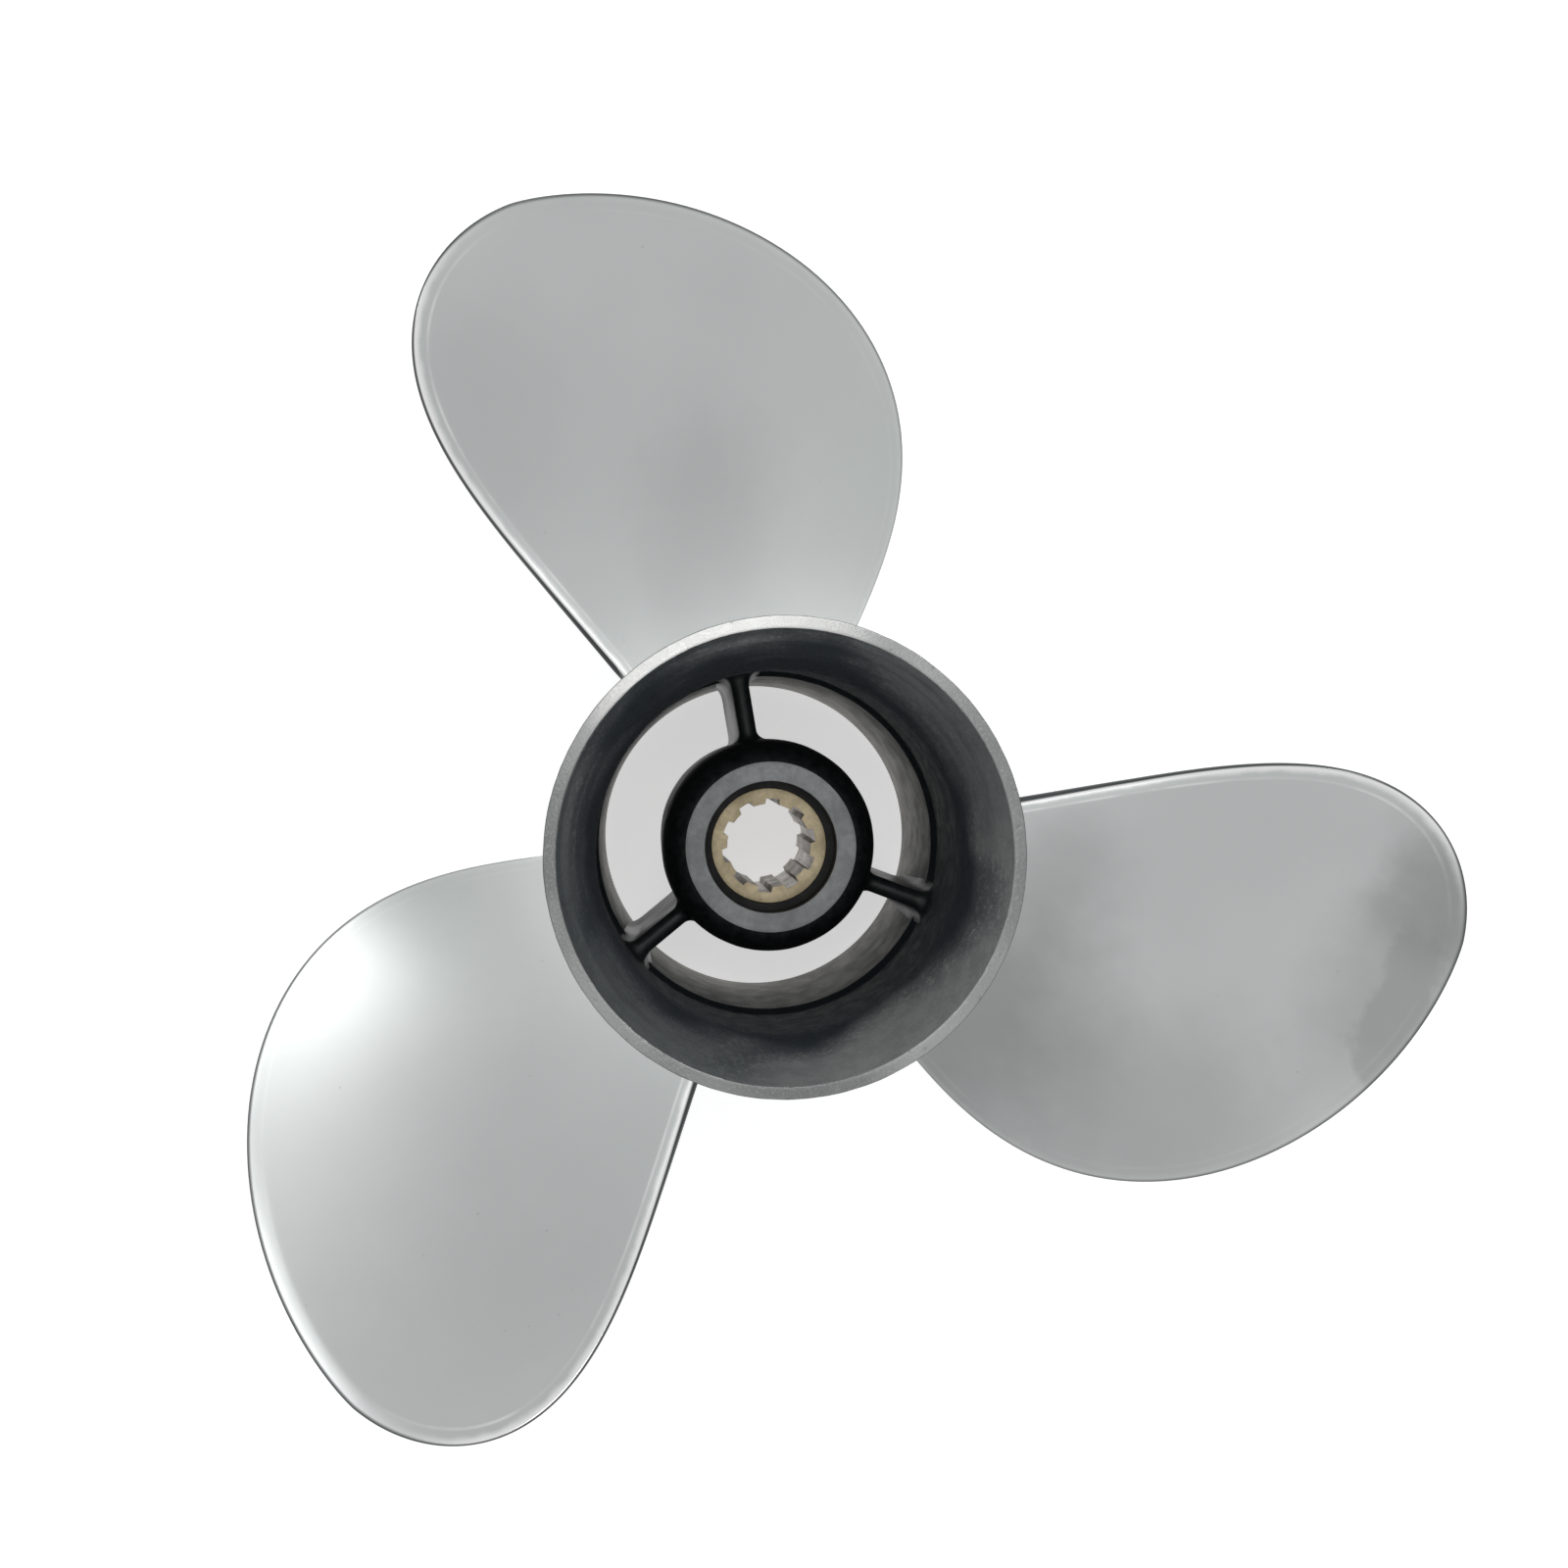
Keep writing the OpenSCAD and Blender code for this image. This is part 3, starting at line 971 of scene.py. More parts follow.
@dataclass
class Shell:
    """Outer barrel and flared ring of the casting, one wall round the exhaust passage."""

    effects: Effects
    barrel_r: float = 0.0
    barrel_len: float = 0.0
    flare_r: float = 0.0
    flare_z: float = 0.0
    wall: float = 3.4
    lip: float = 2.2
    lip_ease: float = 0.4
    lip_bevel: float = 1.8
    lip_slope: float = 0.24
    ledge_z: float = 36.0
    ledge_r: float = 29.25
    ledge_step: float = 0.9
    ledge_drop: float = 2.0
    throat_r: float = 27.05
    mouth_chamfer: float = 0.8
    flare_power: float = 1.8
    flare_steps: int = 14
    steps: int = 288
    finishes: list[bpy.types.Material] = field(default_factory=list)

    def __post_init__(self) -> None:
        """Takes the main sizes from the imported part."""
        low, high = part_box("barrel")
        self.barrel_r = high.x / MM
        self.flare_z = high.z / MM
        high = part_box("flare_ring")[1]
        self.flare_r = high.x / MM
        self.barrel_len = high.z / MM

    @property
    def cavity_r(self) -> float:
        """Inside radius of the barrel where the flared ring starts."""
        return self.barrel_r - self.wall

    def dress(self) -> None:
        """Builds the shell's finishes, in the order that pick uses."""
        self.finishes = [
            CastSteel(
                self.effects, light=(0.60, 0.615, 0.61), dark=(0.50, 0.52, 0.52), rough=0.38, depth=0.00004
            ).build("barrel steel"),
            SprayedCavity(self.effects, paint_z=76.0, bare_z=91.0).build("sprayed cavity"),
            CastSteel(self.effects, light=(0.28, 0.272, 0.255), dark=(0.14, 0.137, 0.13)).build("passage cast"),
            CastSteel(
                self.effects,
                light=(0.44, 0.45, 0.445),
                dark=(0.225, 0.232, 0.23),
                rough=0.30,
                depth=0.0002,
                grains=2000.0,
                pit_size=0.36,
                # Painted highlight on one side of the lip.
                highlight_side=2.0,
            ).build("lip steel"),
            # Darker copy of the cast steel: painted shadow along the lip's outer rounding.
            CastSteel(
                self.effects, light=(0.16, 0.165, 0.165), dark=(0.07, 0.073, 0.074), rough=0.5
            ).build("rim shadow"),
        ]

    def pick(self, centre: Vector, normal: Vector) -> int:
        """Gives the finish for a face: outside, cavity, passage, lip, or the painted shadow on the lip's outer
        rounding.

        Args:
            centre: Middle of the face, in mm.
            normal: Outward direction of the face.

        Returns:
            Number of the finish.
        """
        radius = math.hypot(centre.x, centre.y)
        if centre.z > self.barrel_len - self.lip_slope - 0.6 and radius > self.flare_r - self.lip - 0.02:
            return 4 if radius > self.flare_r - self.lip_ease and normal.z < 0.85 else 3
        inward = normal.x * centre.x + normal.y * centre.y < -0.05 * radius
        if not inward:
            return 0
        return 1 if centre.z > self.ledge_z - self.ledge_drop - 1.0 else 2

    def flare_corners(self, start: float, end: float, turn_back: bool) -> list[Corner]:
        """Gives the flared ring's curve between two radii.

        Args:
            start: Radius at the barrel.
            end: Radius at the lip.
            turn_back: Whether the curve runs from the lip to the barrel.

        Returns:
            Corners of the curve, without its point at the lip.
        """
        shares = [step / self.flare_steps for step in range(self.flare_steps)]
        length = self.barrel_len - self.flare_z
        corners = [Corner(start + (end - start) * s**self.flare_power, self.flare_z + length * s) for s in shares]
        return corners[::-1] if turn_back else corners

    def build_barrel(self) -> None:
        """Builds the barrel, from its front face to the flared ring."""
        corners = [
            Corner(self.barrel_r, 0.0, 0.5),
            Corner(self.throat_r + self.mouth_chamfer, 0.0, 0.15),
            Corner(self.throat_r, self.mouth_chamfer, 0.2),
            Corner(self.ledge_r, self.ledge_z - self.ledge_drop, 0.3),
            Corner(self.ledge_r + self.ledge_step, self.ledge_z, 0.4),
            Corner(self.cavity_r, self.flare_z),
            Corner(self.barrel_r, self.flare_z),
        ]
        shape = spun(turned_outline(corners), self.steps)
        roughen(shape, 0.05, 3.0, lambda co: 1.0 if 2.0 < co.z < self.flare_z - 2.0 else 0.0)
        make_piece(shape, "barrel_casting", CAST_BODY, Slot.STEEL, ["barrel"], self.finishes, self.pick)

    def build_flare(self) -> None:
        """Builds the flared ring with its lip."""
        corners = [
            *self.flare_corners(self.cavity_r, self.flare_r - self.lip, False),
            Corner(self.flare_r - self.lip, self.barrel_len, self.lip_ease * 0.6),
            Corner(self.flare_r - self.lip_bevel, self.barrel_len, 0.2),
            Corner(self.flare_r, self.barrel_len - self.lip_slope, self.lip_ease),
            *self.flare_corners(self.barrel_r, self.flare_r - 0.1, True),
        ]
        shape = spun(turned_outline(corners, longest=1.6), self.steps)
        roughen(shape, 0.06, 2.2, lambda co: 1.0 if co.z > self.flare_z + 1.0 else 0.0)
        make_piece(shape, "flare_casting", CAST_BODY, Slot.STEEL, ["flare_ring"], self.finishes, self.pick)


# ---- blades ----


class Edge(Enum):
    """Where a line of points runs up a blade."""

    LEAD = "leading edge"
    TRAIL = "trailing edge"
    MIDDLE = "between the edges"


@dataclass(frozen=True)
class Lane:
    """A line of points that runs up a blade from its root to its tip."""

    edge: Edge
    side: int
    inset: float = 0.0
    across: float = 0.0
    turn: float | None = None
    halfway: bool = False


@dataclass
class BladeSet:
    """Three equal blades, each a twisted sheet on a helix with a root fillet and a cupped edge."""

    effects: Effects
    barrel_r: float
    tip_r: float = 117.5
    pitch: float = 254.0
    blade_z: float = 52.38
    rake_slope: float = 0.333
    rake_ref_r: float = 75.0
    tip_angle: float = 7.3
    lead_span: float = 47.6
    trail_span: float = 19.0
    lead_power: float = 2.53
    lead_round: float = 1.375
    trail_power: float = 4.0
    trail_round: float = 2.03
    root_t: float = 7.0
    tip_t: float = 2.6
    edge_t: float = 1.3
    edge_ease: float = 0.6
    cup_rise: float = 0.6
    cup_width: float = 3.2
    cup_power: float = 1.4
    root_fillet: float = 5.0
    lead_wrap: float = 0.9
    trail_wrap: float = 0.5
    insets: tuple[float, ...] = (0.75, 1.0, 1.3, 1.7, 2.1, 2.5, 2.9, 3.3, 4.0, 5.2)
    middle_lanes: int = 44
    rows: int = 70
    fillet_rows: int = 9

    def lead_angle(self, u: float) -> float:
        """Gives the leading edge's angle at a height share."""
        return self.tip_angle - self.lead_span * (1 - u**self.lead_power) ** (1 / self.lead_round)

    def trail_angle(self, u: float) -> float:
        """Gives the trailing edge's angle at a height share."""
        return self.tip_angle + self.trail_span * (1 - u**self.trail_power) ** (1 / self.trail_round)

    def share(self, r: float) -> float:
        """Gives the height share of a radius, held between the barrel and the tip."""
        return min(1.0, max(0.0, (r - self.barrel_r) / (self.tip_r - self.barrel_r)))

    def helix(self, r: float) -> float:
        """Gives the helix angle at a radius, in radians."""
        return math.atan(self.pitch / (math.tau * r))

    def fillet_gain(self, r: float) -> float:
        """Gives the half-thickness that the root fillet adds at a radius.

        Args:
            r: Radius in mm.

        Returns:
            The added half-thickness in mm.
        """
        size = self.root_fillet
        d = max(0.0, r - self.barrel_r)
        if d >= size:
            return 0.0
        start = size * 0.02
        held = max(d, start)
        gain = size - math.sqrt(size**2 - (size - held) ** 2)
        return gain + (held - d) * 4.0

    def degrees(self, length: float, r: float) -> float:
        """Turns a length along the helix into degrees round the shaft."""
        return math.degrees(length * math.cos(self.helix(r)) / r)

    def outline(self, edge: Edge, r: float) -> float:
        """Gives an edge's angle at a radius, widened by the root fillet.

        Args:
            edge: Edge of the blade.
            r: Radius in mm.

        Returns:
            The angle in degrees.
        """
        gain = self.fillet_gain(r)
        if edge is Edge.LEAD:
            return self.lead_angle(self.share(r)) - self.degrees(self.lead_wrap * gain, r)
        return self.trail_angle(self.share(r)) + self.degrees(self.trail_wrap * gain, r)

    def inward(self, edge: Edge, r: float) -> tuple[float, float]:
        """Gives the direction into the blade from an edge.

        Args:
            edge: Leading or trailing edge.
            r: Radius on the edge.

        Returns:
            Shares of the direction along the helix and along the radius.
        """
        sign = 1.0 if edge is Edge.LEAD else -1.0
        if r > self.tip_r - 0.001:
            return 0.0, -1.0
        step = min(0.4, (self.tip_r - r) / 2)
        low = max(r - step, self.barrel_r)
        turn = self.outline(edge, r + step) - self.outline(edge, low)
        along = math.radians(turn) * r / math.cos(self.helix(r))
        rise = r + step - low
        down = -sign * along * smooth_step(0.02, 0.22, self.share(r))
        size = math.hypot(rise, down)
        return sign * rise / size, down / size

    def skin(self, angle: float, r: float, side: int) -> float:
        """Gives the distance from the helix sheet to a face.

        Args:
            angle: Degrees from the blade's reference line.
            r: Radius.
            side: 1 for the aft face, -1 for the forward face.

        Returns:
            Distance square to the helix, positive aft.
        """
        u = self.share(r)
        first = self.outline(Edge.LEAD, r)
        width = max(self.outline(Edge.TRAIL, r) - first, 1e-6)
        c = min(1.0, max(0.0, (angle - first) / width))
        middle = self.root_t + (self.tip_t - self.root_t) * u**0.8
        bulge = max(0.0, 1 - (2 * c - 1) ** 2) ** 0.8
        thickness = self.edge_t + (middle - self.edge_t) * bulge * min(1.0, 6 * (1 - u))
        grown = self.fillet_gain(r) * math.sqrt(max(0.0, 1 - abs(2 * c - 1) ** 6))
        return self.edge_t / 2 + grown if side > 0 else self.edge_t / 2 - thickness - grown

    def cup(self, edge: Edge, inset: float, u: float) -> float:
        """Gives the aft lift of the cupped edge at a distance inside the outline.

        Args:
            edge: Edge of the blade.
            inset: Distance inside the outline, in mm.
            u: Share of the way from root to tip.

        Returns:
            The lift in mm.
        """
        if edge is Edge.MIDDLE or inset >= self.cup_width:
            return 0.0
        reach = min(1.0, 3 * u) if edge is Edge.TRAIL else smooth_step(0.82, 1.0, u)
        return self.cup_rise * (1 - inset / self.cup_width) ** self.cup_power * reach

    def wall_lanes(self, edge: Edge) -> list[Lane]:
        """Gives the lanes down an edge wall, from the aft face to the forward face.

        Args:
            edge: Edge of the blade.

        Returns:
            The lanes.
        """
        turns = (0.0, 18.0, 36.0, 54.0, 72.0, 90.0)
        aft = [Lane(edge, 1, turn=turn) for turn in turns]
        forward = [Lane(edge, -1, turn=turn) for turn in turns[::-1]]
        return [*aft, Lane(edge, 1, turn=90.0, halfway=True), *forward]

    def face_lanes(self, side: int) -> list[Lane]:
        """Gives the lanes across one face, from the leading edge to the trailing edge.

        Args:
            side: 1 for the aft face, -1 for the forward face.

        Returns:
            The lanes.
        """
        middle = [Lane(Edge.MIDDLE, side, across=k / self.middle_lanes) for k in range(1, self.middle_lanes)]
        return [
            *(Lane(Edge.LEAD, side, inset=d) for d in self.insets),
            *middle,
            *(Lane(Edge.TRAIL, side, inset=d) for d in self.insets[::-1]),
        ]

    def lanes(self) -> list[Lane]:
        """Gives every lane in order round the blade, with the first one again at the end.

        Returns:
            The lanes.
        """
        round_lanes = [
            *self.face_lanes(1),
            *self.wall_lanes(Edge.TRAIL),
            *self.face_lanes(-1)[::-1],
            *self.wall_lanes(Edge.LEAD)[::-1],
        ]
        return [*round_lanes, round_lanes[0]]

    def row_radii(self) -> list[float]:
        """Gives the radius of each row on the outline, from inside the barrel wall to the tip.

        Returns:
            The radii in mm.
        """
        size = self.root_fillet
        quarter = [90 * (k + 1) / self.fillet_rows for k in range(self.fillet_rows)]
        fillet = [self.barrel_r + size * (1 - math.cos(math.radians(turn))) for turn in quarter]
        start = fillet[-1]
        shares = [(k + 1) / self.rows for k in range(self.rows)]
        blade = [start + (self.tip_r - start) * (1 - (1 - s) ** 2) for s in shares]
        sunk = [self.barrel_r - 1.2, self.barrel_r - 0.9, self.barrel_r]
        return [*sunk, *fillet, *blade]

    def foot(self, edge: Edge, inset: float, r: float) -> tuple[float, float]:
        """Gives the angle and radius of the point at a distance inside an edge."""
        along, down = self.inward(edge, r)
        reached = r + down * inset
        return self.outline(edge, r) + self.degrees(along * inset, r), reached

    def point(self, lane: Lane, r: float, closing: bool) -> Vector:
        """Gives a lane's point on a row.

        Args:
            lane: Lane of the point.
            r: Radius of the row on the outline.
            closing: Whether this row closes the root, inside the barrel wall.

        Returns:
            The point, for a blade whose reference line is +X.
        """
        ease = self.edge_ease
        inset = lane.inset
        drop = 0.0
        if lane.turn is not None:
            inset = ease * (1 - math.sin(math.radians(lane.turn)))
            drop = self.edge_t / 2 if lane.halfway else ease * (1 - math.cos(math.radians(lane.turn)))
        if lane.edge is Edge.MIDDLE:
            first = self.foot(Edge.LEAD, self.insets[-1], r)
            last = self.foot(Edge.TRAIL, self.insets[-1], r)
            angle = first[0] + (last[0] - first[0]) * lane.across
            reached = first[1] + (last[1] - first[1]) * lane.across
        else:
            angle, reached = self.foot(lane.edge, inset, r)
        off = self.skin(angle, reached, lane.side) - lane.side * drop
        if closing:
            off = (self.skin(angle, reached, 1) + self.skin(angle, reached, -1)) / 2
        off += self.cup(lane.edge, inset, self.share(r))
        helix = self.helix(reached)
        turned = angle - math.degrees(off * math.sin(helix) / reached)
        rake = self.rake_slope * (reached - self.rake_ref_r)
        height = self.blade_z + self.pitch * angle / 360 + rake + off * math.cos(helix)
        return polar(reached, turned, height)

    def build(self) -> None:
        """Builds the three blades."""
        finish = SatinSteel(self.effects).build("satin blade")
        lanes = self.lanes()
        radii = self.row_radii()
        for index in range(3):
            shape = mapped_grid(len(lanes), len(radii), lambda c, k: self.point(lanes[c], radii[k], k == 0))
            self.store_insets(shape, lanes, len(radii))
            turn = Matrix.Rotation(math.radians(120 * index), 3, "Z")
            bmesh.ops.rotate(shape, cent=(0, 0, 0), matrix=turn, verts=shape.verts)
            node = f"blade_{index + 1}"
            make_piece(
                shape, f"{node}_casting", CAST_BODY, Slot.STEEL, [node], [finish], sharp=50.0, even_normals=False
            )

    def store_insets(self, shape: bmesh.types.BMesh, lanes: list[Lane], rows: int) -> None:
        """Stores each point's distance inside the outline, for the painted shade and highlight on the edges.

        Args:
            shape: Bent grid, not yet merged.
            lanes: Lanes in the order of the grid's columns.
            rows: Number of rows.
        """
        layer = shape.verts.layers.float.new("inset_mm")
        trail = shape.verts.layers.float.new("trail_share")
        count = len(lanes)
        for vert in shape.verts:
            lane = lanes[vert.index % count]
            row = vert.index // count
            tip_share = smooth_step(0.0, 0.3, 1 - row / rows)
            above_root = smooth_step(3.0, 3.0 + self.fillet_rows, row)
            vert[trail] = (1.0 if lane.edge is Edge.TRAIL else 0.15) * tip_share * above_root
            inset = self.insets[-1] if lane.edge is Edge.MIDDLE else lane.inset
            if lane.turn is not None:
                inset = self.edge_ease * (1 - math.sin(math.radians(lane.turn)))
            vert[layer] = inset + self.insets[-1] * (1 - above_root)


# ---- hub and ribs ----


@dataclass
class InnerHub:
    """Inner hub that holds the rubber bush, with a machined ring on its aft face."""

    effects: Effects
    front_r: float = 17.025
    front_z: float = 0.0
    outer_r: float = 0.0
    length: float = 0.0
    nose_len: float = 8.5
    face_r: float = 14.175
    hole_r: float = 11.375
    bore_r: float = 14.525
    seat_z: float = 45.03
    nose_steps: int = 12
    steps: int = 240
    burr_turn: float = 55.0
    burr_reach: float = 1.8
    burr_rise: float = 0.45

    def __post_init__(self) -> None:
        """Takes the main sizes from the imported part."""
        low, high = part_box("inner_hub")
        self.front_z = low.z / MM
        self.length = high.z / MM
        self.outer_r = high.x / MM

    @property
    def shoulder_z(self) -> float:
        """Height at which the nose starts."""
        return self.length - self.nose_len

    def side_r(self, z: float) -> float:
        """Gives the hub's outside radius at a height below its nose."""
        top = self.shoulder_z - 3.0
        share = min(1.0, max(0.0, (z - self.front_z) / (top - self.front_z)))
        return self.front_r + (self.outer_r - self.front_r) * share

    def pick(self, centre: Vector, normal: Vector) -> int:
        """Gives the finish for a face: paint, machined ring or bare bore.

        Args:
            centre: Middle of the face, in mm.
            normal: Outward direction of the face; not used.

        Returns:
            Number of the finish.
        """
        radius = math.hypot(centre.x, centre.y)
        if centre.z > self.length - 0.12 and self.hole_r < radius < self.face_r + 0.3:
            return 1
        return 2 if radius < self.bore_r + 0.2 and centre.z < self.seat_z + 0.1 else 0

    def build(self) -> None:
        """Builds the hub."""
        nose = []
        for step in range(self.nose_steps + 1):
            turn = math.radians(90 * step / self.nose_steps)
            width = self.outer_r - self.face_r
            nose.append(Corner(self.face_r + width * math.cos(turn), self.shoulder_z + self.nose_len * math.sin(turn)))
        corners = [
            Corner(self.front_r, self.front_z, 0.5),
            Corner(self.outer_r, self.shoulder_z - 3.0),
            *nose,
            Corner(self.hole_r, self.length, 0.25),
            Corner(self.hole_r, self.seat_z),
            Corner(self.bore_r, self.seat_z),
            Corner(self.bore_r, self.front_z, 0.3),
        ]
        finishes = [
            BlackPaint(self.effects).build("hub paint"),
            FacedMetal(
                self.effects, light=(0.40, 0.415, 0.42), dark=(0.24, 0.25, 0.255), metallic=0.2, rough=0.5
            ).build("machined ring"),
            CastSteel(self.effects).build("hub bore"),
        ]
        shape = spun(turned_outline(corners), self.steps)
        roughen(shape, 0.05, 3.5, lambda co: 1.0 if co.z < self.length - 1.0 and co.xy.length > 15.2 else 0.0)
        self.raise_burr(shape)
        make_piece(shape, "hub_casting", CAST_BODY, Slot.PAINT, ["inner_hub"], finishes, self.pick)

    def raise_burr(self, shape: bmesh.types.BMesh) -> None:
        """Raises the small burr that the mould left on the hub's side.

        Args:
            shape: Mesh of the hub.
        """
        burr = polar(self.outer_r, self.burr_turn, self.shoulder_z)
        for vert in shape.verts:
            share = 1 - (vert.co - burr).length / self.burr_reach
            if share > 0:
                vert.co += vert.normal * self.burr_rise * share


@dataclass
class RibSet:
    """Three ribs that hold the inner hub in the barrel, each with a round aft edge."""

    effects: Effects
    hub: InnerHub
    shell: Shell
    phase: float = -5.9
    front_z: float = 8.0
    edge_z: float = 37.53
    edge_t: float = 3.1
    front_t: float = 4.2
    wall_fillet: float = 2.5
    hub_fillet: float = 1.6
    front_ease: float = 1.4
    end_rise: float = 0.5
    sink: float = 0.5

    def wall_r(self, z: float) -> float:
        """Gives the passage wall's radius at a height.

        Args:
            z: Height in mm.

        Returns:
            The radius in mm.
        """
        shell = self.shell
        ledge_low = shell.ledge_z - shell.ledge_drop
        if z < ledge_low:
            share = (z - shell.mouth_chamfer) / (ledge_low - shell.mouth_chamfer)
            return shell.throat_r + (shell.ledge_r - shell.throat_r) * share
        if z < shell.ledge_z:
            return shell.ledge_r + shell.ledge_step * (z - ledge_low) / shell.ledge_drop
        return shell.ledge_r + shell.ledge_step + 0.015 * (z - shell.ledge_z)

    def section(self) -> list[tuple[Vector, Vector]]:
        """Gives the rib's section: points across the rib and up the shaft, with outward directions.

        Returns:
            Each point with its outward direction.
        """
        half_edge = self.edge_t / 2
        half_front = self.front_t / 2
        ease = self.front_ease
        loop: list[tuple[Vector, Vector]] = []
        for step in range(15):
            turn = math.radians(180 * step / 14)
            out = Vector((math.cos(turn), math.sin(turn)))
            loop.append((Vector((0, self.edge_z)) + out * half_edge, out))
        for step in range(1, 10):
            share = step / 10
            width = half_edge + (half_front - half_edge) * share
            loop.append((Vector((-width, self.edge_z + (self.front_z + ease - self.edge_z) * share)), Vector((-1, 0))))
        for step in range(7):
            turn = math.radians(180 + 90 * step / 6)
            out = Vector((math.cos(turn), math.sin(turn)))
            loop.append((Vector((ease - half_front, self.front_z + ease)) + out * ease, out))
        mirrored = [(Vector((-p.x, p.y)), Vector((-n.x, n.y))) for p, n in loop[15:][::-1]]
        return [*loop, *mirrored, loop[0]]

    def stations(self) -> list[tuple[float, float, float]]:
        """Gives the stations from the hub to the wall: distance from each and the fillet's width.

        Returns:
            The share of the way, the shift and the fillet's width of each station.
        """
        rows: list[tuple[float, float, float]] = []
        hub, wall = self.hub_fillet, self.wall_fillet
        rows.append((0.0, -self.sink, hub))
        for step in range(8):
            turn = math.radians(8 + 82 * step / 7)
            rows.append((0.0, hub * (1 - math.cos(turn)), hub * (1 - math.sin(turn))))
        rows.extend((share, 0.0, 0.0) for share in (0.3, 0.45, 0.6))
        for step in range(9):
            turn = math.radians(90 - 84 * step / 8)
            rows.append((1.0, -wall * (1 - math.cos(turn)), wall * (1 - math.sin(turn))))
        rows.append((1.0, self.sink, wall))
        return rows

    def build(self) -> None:
        """Builds the three ribs."""
        section = self.section()
        stations = self.stations()
        finish = BlackPaint(
            self.effects, colour=(0.012, 0.014, 0.0155), dust=(0.034, 0.038, 0.04), rough=0.3, specular=0.4
        ).build("rib paint")

        def place(column: int, row: int) -> Vector:
            """Gives a point of a rib along +X.

            Args:
                column: Number of the point in the section.
                row: Number of the station.

            Returns:
                The point in mm.
            """
            at, out = section[column]
            share, shift, gain = stations[row]
            gain *= 0.4 + 0.6 * smooth_step(self.front_z, self.edge_z, at.y)
            across = at.x + out.x * gain
            height = at.y + out.y * gain * self.end_rise
            inner = self.hub.side_r(height)
            radius = inner + (self.wall_r(height) - inner) * share + shift
            return polar(radius, math.degrees(across / radius), height)

        for index in range(3):
            shape = mapped_grid(len(section), len(stations), place)
            bmesh.ops.remove_doubles(shape, verts=shape.verts, dist=0.0005)
            rims = [edge for edge in shape.edges if edge.is_boundary]
            bmesh.ops.holes_fill(shape, edges=rims, sides=0)
            turn = Matrix.Rotation(math.radians(self.phase + 120 * index), 3, "Z")
            bmesh.ops.rotate(shape, cent=(0, 0, 0), matrix=turn, verts=shape.verts)
            node = f"rib_{index + 1}"
            make_piece(shape, f"{node}_casting", CAST_BODY, Slot.PAINT, [node], [finish], even_normals=False)


# ---- drive core ----


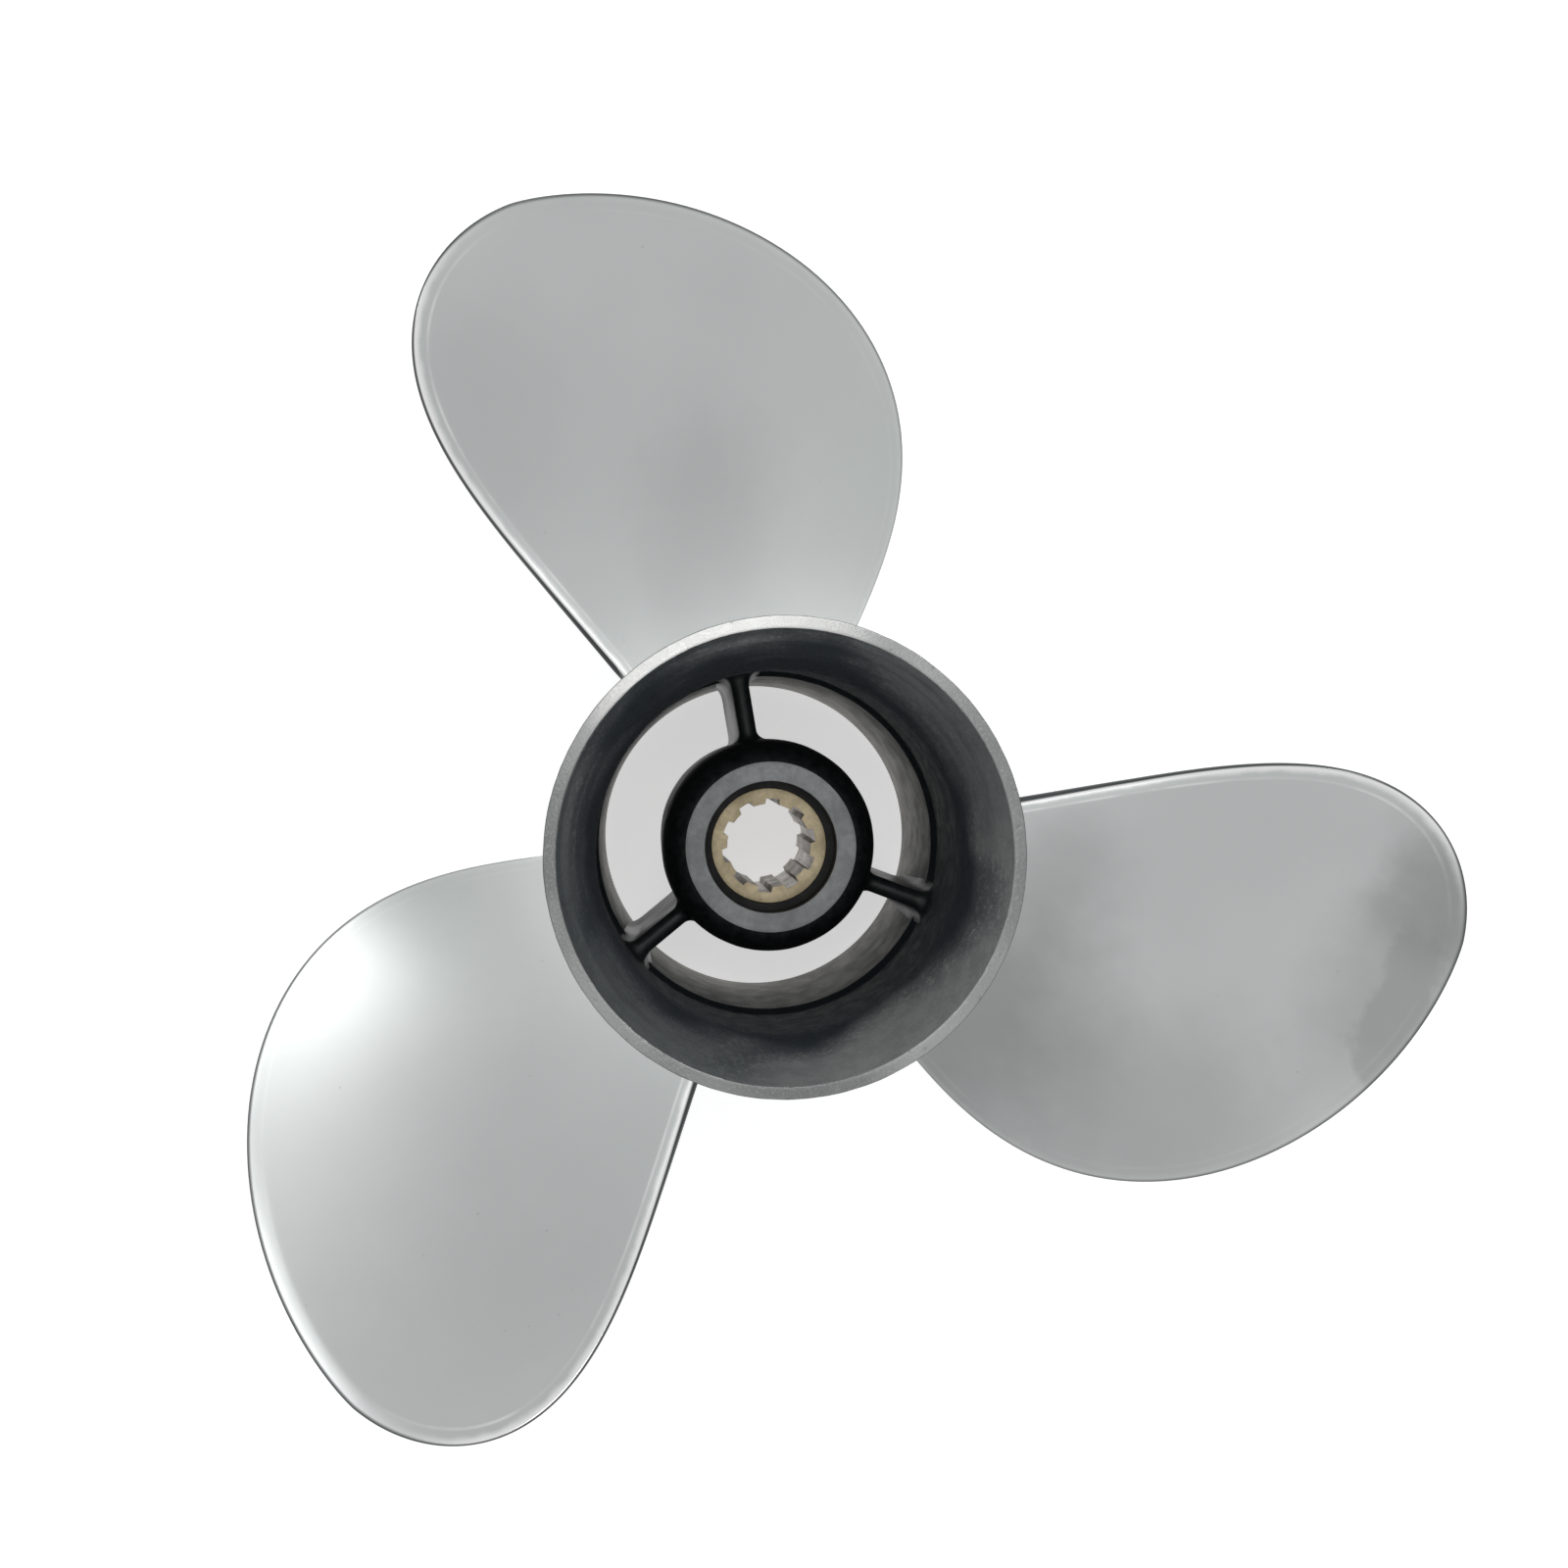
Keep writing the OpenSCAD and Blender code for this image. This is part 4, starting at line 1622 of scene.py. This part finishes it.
@dataclass
class DriveCore:
    """Rubber bush and splined bronze insert, which turn together on the shaft."""

    effects: Effects
    insert_r: float = 0.0
    insert_len: float = 0.0
    bush_r: float = 0.0
    minor_r: float = 7.225
    major_r: float = 8.155
    pilot_r: float = 8.605
    pilot_len: float = 10.0
    face_ring_r: float = 8.95
    groove_share: float = 0.44
    mouth_flank: float = 1.12
    phase: float = 15.6
    teeth: int = 10
    steps_per_tooth: int = 24
    root_steps: int = 10

    def __post_init__(self) -> None:
        """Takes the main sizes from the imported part."""
        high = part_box("splined_insert")[1]
        self.insert_r = high.x / MM
        self.insert_len = high.z / MM
        self.bush_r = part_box("rubber_bush")[1].x / MM

    @property
    def groove_middle(self) -> float:
        """Angle of a groove's middle from the start of its tooth spacing."""
        return 180 * self.root_steps / (self.teeth * self.steps_per_tooth)

    def groove_place(self, step: int) -> tuple[float, float]:
        """Gives a spline point's angle in its tooth spacing and its depth share.

        Args:
            step: Number of the point in its spacing.

        Returns:
            Degrees from the groove's middle, and 1 at the groove's root or 0 on the tooth.
        """
        pitch_angle = 360 / self.teeth
        root_half = pitch_angle * self.groove_share / 2
        mouth_half = root_half * self.mouth_flank * self.major_r / self.minor_r
        if step <= self.root_steps:
            return -root_half + 2 * root_half * step / self.root_steps, 1.0
        tooth_steps = self.steps_per_tooth - self.root_steps - 2
        share = (step - self.root_steps - 1) / tooth_steps
        return mouth_half + (pitch_angle - 2 * mouth_half) * share, 0.0

    def cut_grooves(self, shape: bmesh.types.BMesh) -> None:
        """Moves the bore's points outwards into the grooves.

        Args:
            shape: Mesh of the insert.
        """
        count = self.teeth * self.steps_per_tooth
        pitch_angle = 360 / self.teeth
        middle = self.groove_middle
        for vert in shape.verts:
            radius = vert.co.xy.length
            if radius > self.minor_r + 0.3 or vert.co.z < self.pilot_len - 0.01:
                continue
            number = round(math.degrees(math.atan2(vert.co.y, vert.co.x)) / 360 * count) % count
            tooth, step = divmod(number, self.steps_per_tooth)
            angle, depth = self.groove_place(step)
            reached = radius + (self.major_r - self.minor_r) * depth
            vert.co = polar(reached, tooth * pitch_angle + angle + middle, vert.co.z)

    def pick(self, centre: Vector, normal: Vector) -> int:
        """Gives the finish for a face: bronze, broached groove or tooth land; the groove's pale colour is partly
        painted light, the land's darker copy partly painted shade.

        Args:
            centre: Middle of the face, in mm.
            normal: Outward direction of the face.

        Returns:
            Number of the finish.
        """
        radius = centre.xy.length
        if radius > self.major_r + 0.5 or abs(normal.z) > 0.5:
            return 0
        return 1 if radius > (self.minor_r + self.major_r) / 2 and centre.z > self.pilot_len else 2

    def build_insert(self) -> None:
        """Builds the splined insert."""
        corners = [
            Corner(self.insert_r, 0.0, 0.25),
            Corner(self.insert_r, self.insert_len, 0.25),
            Corner(self.face_ring_r, self.insert_len),
            Corner(self.minor_r, self.insert_len, 0.12),
            Corner(self.minor_r, self.pilot_len),
            Corner(self.pilot_r, self.pilot_len),
            Corner(self.pilot_r, 0.0, 0.3),
        ]
        shape = spun(turned_outline(corners, longest=9.0, ease_steps=2), self.teeth * self.steps_per_tooth)
        self.cut_grooves(shape)
        turn = Matrix.Rotation(math.radians(self.phase - self.groove_middle), 3, "Z")
        bmesh.ops.rotate(shape, cent=(0, 0, 0), matrix=turn, verts=shape.verts)
        finishes = [
            FacedMetal(
                self.effects, light=(0.99, 0.84, 0.55), dark=(0.56, 0.46, 0.285), metallic=0.15, rough=0.5,
                grains=1500.0, depth=0.00015,
            ).build("sandy bronze"),
            # Lighter groove and darker tooth land copies of one finish: partly painted light and painted shade in the
            # dim bore.
            Broached(self.effects).build("broached groove"),
            Broached(self.effects, light=(0.50, 0.45, 0.38), dark=(0.27, 0.24, 0.195)).build("tooth land"),
        ]
        make_piece(shape, "insert_bronze", CORE_BODY, Slot.BRONZE, ["splined_insert"], finishes, self.pick)

    def build_bush(self) -> None:
        """Builds the rubber bush."""
        low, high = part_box("rubber_bush")
        bottom, top = low.z / MM, high.z / MM
        middle_r = (self.insert_r + self.bush_r) / 2
        corners = [
            Corner(self.insert_r, bottom, 0.4),
            Corner(self.insert_r, top, 0.3),
            Corner(self.bush_r, top, 0.5),
            Corner(self.bush_r, bottom, 0.7),
            Corner(middle_r + 1.0, bottom, 0.4),
            Corner(middle_r, bottom + 0.8, 0.5),
            Corner(middle_r - 1.0, bottom, 0.4),
        ]
        shape = spun(turned_outline(corners), 192)
        rubber = BushRubber(self.effects).build("bush rubber")
        make_piece(shape, "bush_moulding", CORE_BODY, Slot.RUBBER, ["rubber_bush"], [rubber])

    def build(self) -> None:
        """Builds both pieces."""
        self.build_bush()
        self.build_insert()


# ---- studio ----


@dataclass(frozen=True)
class Softbox:
    """A soft area light, aimed at the part."""

    name: str
    azimuth: float
    height: float
    distance: float
    size: float
    watts: float
    width: float = 0.0


@dataclass
class Studio:
    """Floor, light and camera."""

    floor_size: float = 16.0
    floor_shade: float = 0.72
    floor_glow: float = 0.58
    world_shade: float = 0.72
    target: tuple[float, float, float] = (9.85, -5.1, 50.0)
    aim_back: tuple[float, float, float] = (0.049, 0.05394, 0.99734)
    aim_up: tuple[float, float, float] = (0.96323, -0.26665, -0.03291)
    camera_distance: float = 859.7
    lens: float = 114.39
    softboxes: tuple[Softbox, ...] = (
        Softbox("key", -36.0, 31.0, 1.6, 0.56, 3.5),
        Softbox("high window", -1.0, 75.0, 1.7, 0.38, 1.8),
    )

    def build_floor(self) -> None:
        """Builds the pale floor that the hub stands on."""
        shape = bmesh.new()
        bmesh.ops.create_grid(shape, x_segments=8, y_segments=8, size=self.floor_size / 2)
        mesh = bpy.data.meshes.new("floor")
        shape.to_mesh(mesh)
        shape.free()
        material, board, shader = start_material("pale floor")
        place = board.place()
        shade = self.floor_shade
        tint = board.blend(board.noise(place, 3.0), (shade - 0.01,) * 3, (shade + 0.01,) * 3)
        board.feed(shader.inputs["Base Color"], tint)
        shader.inputs["Roughness"].default_value = 0.8
        shader.inputs["Emission Color"].default_value = (self.floor_glow, self.floor_glow, self.floor_glow, 1.0)
        shader.inputs["Emission Strength"].default_value = 1.0
        mesh.materials.append(material)
        floor = bpy.data.objects.new("floor", mesh)
        bpy.context.scene.collection.objects.link(floor)

    def build_light(self) -> None:
        """Builds the even surrounding light and the softboxes."""
        world = bpy.data.worlds.new("studio")
        world.use_nodes = True
        background = world.node_tree.nodes["Background"]
        background.inputs["Color"].default_value = (1.0, 1.0, 1.0, 1.0)
        background.inputs["Strength"].default_value = self.world_shade
        bpy.context.scene.world = world
        for box in self.softboxes:
            lamp = bpy.data.lights.new(box.name, "AREA")
            lamp.shape = "RECTANGLE"
            lamp.size = box.width or box.size
            lamp.size_y = box.size
            lamp.energy = box.watts
            holder = bpy.data.objects.new(box.name, lamp)
            flat = math.cos(math.radians(box.height)) * box.distance
            holder.location = polar(flat, box.azimuth, math.sin(math.radians(box.height)) * box.distance)
            holder.rotation_euler = (holder.location - Vector((0, 0, 0.05))).to_track_quat("Z", "Y").to_euler()
            holder.visible_camera = False
            bpy.context.scene.collection.objects.link(holder)

    def build_camera(self) -> None:
        """Builds the camera, looking down on the aft end."""
        back = Vector(self.aim_back).normalized()
        up = Vector(self.aim_up)
        side = up.cross(back).normalized()
        up = back.cross(side)
        matrix = Matrix((side, up, back)).transposed().to_4x4()
        matrix.translation = (Vector(self.target) + back * self.camera_distance) * MM
        camera = bpy.data.cameras.new("camera")
        camera.lens = self.lens
        camera.sensor_width = 36.0
        camera.clip_start = 0.01
        holder = bpy.data.objects.new("camera", camera)
        holder.matrix_world = matrix
        bpy.context.scene.collection.objects.link(holder)
        bpy.context.scene.camera = holder

    def build(self) -> None:
        """Builds the whole studio."""
        self.build_floor()
        self.build_light()
        self.build_camera()
        bpy.context.scene.view_settings.view_transform = "Standard"


def main() -> None:
    """Builds every piece in order, then the studio."""
    effects = Effects()
    shell = Shell(effects)
    shell.dress()
    shell.build_barrel()
    shell.build_flare()
    BladeSet(effects, shell.barrel_r).build()
    hub = InnerHub(effects)
    hub.build()
    RibSet(effects, hub, shell).build()
    DriveCore(effects).build()
    Studio().build()


if __name__ == "__main__":
    main()
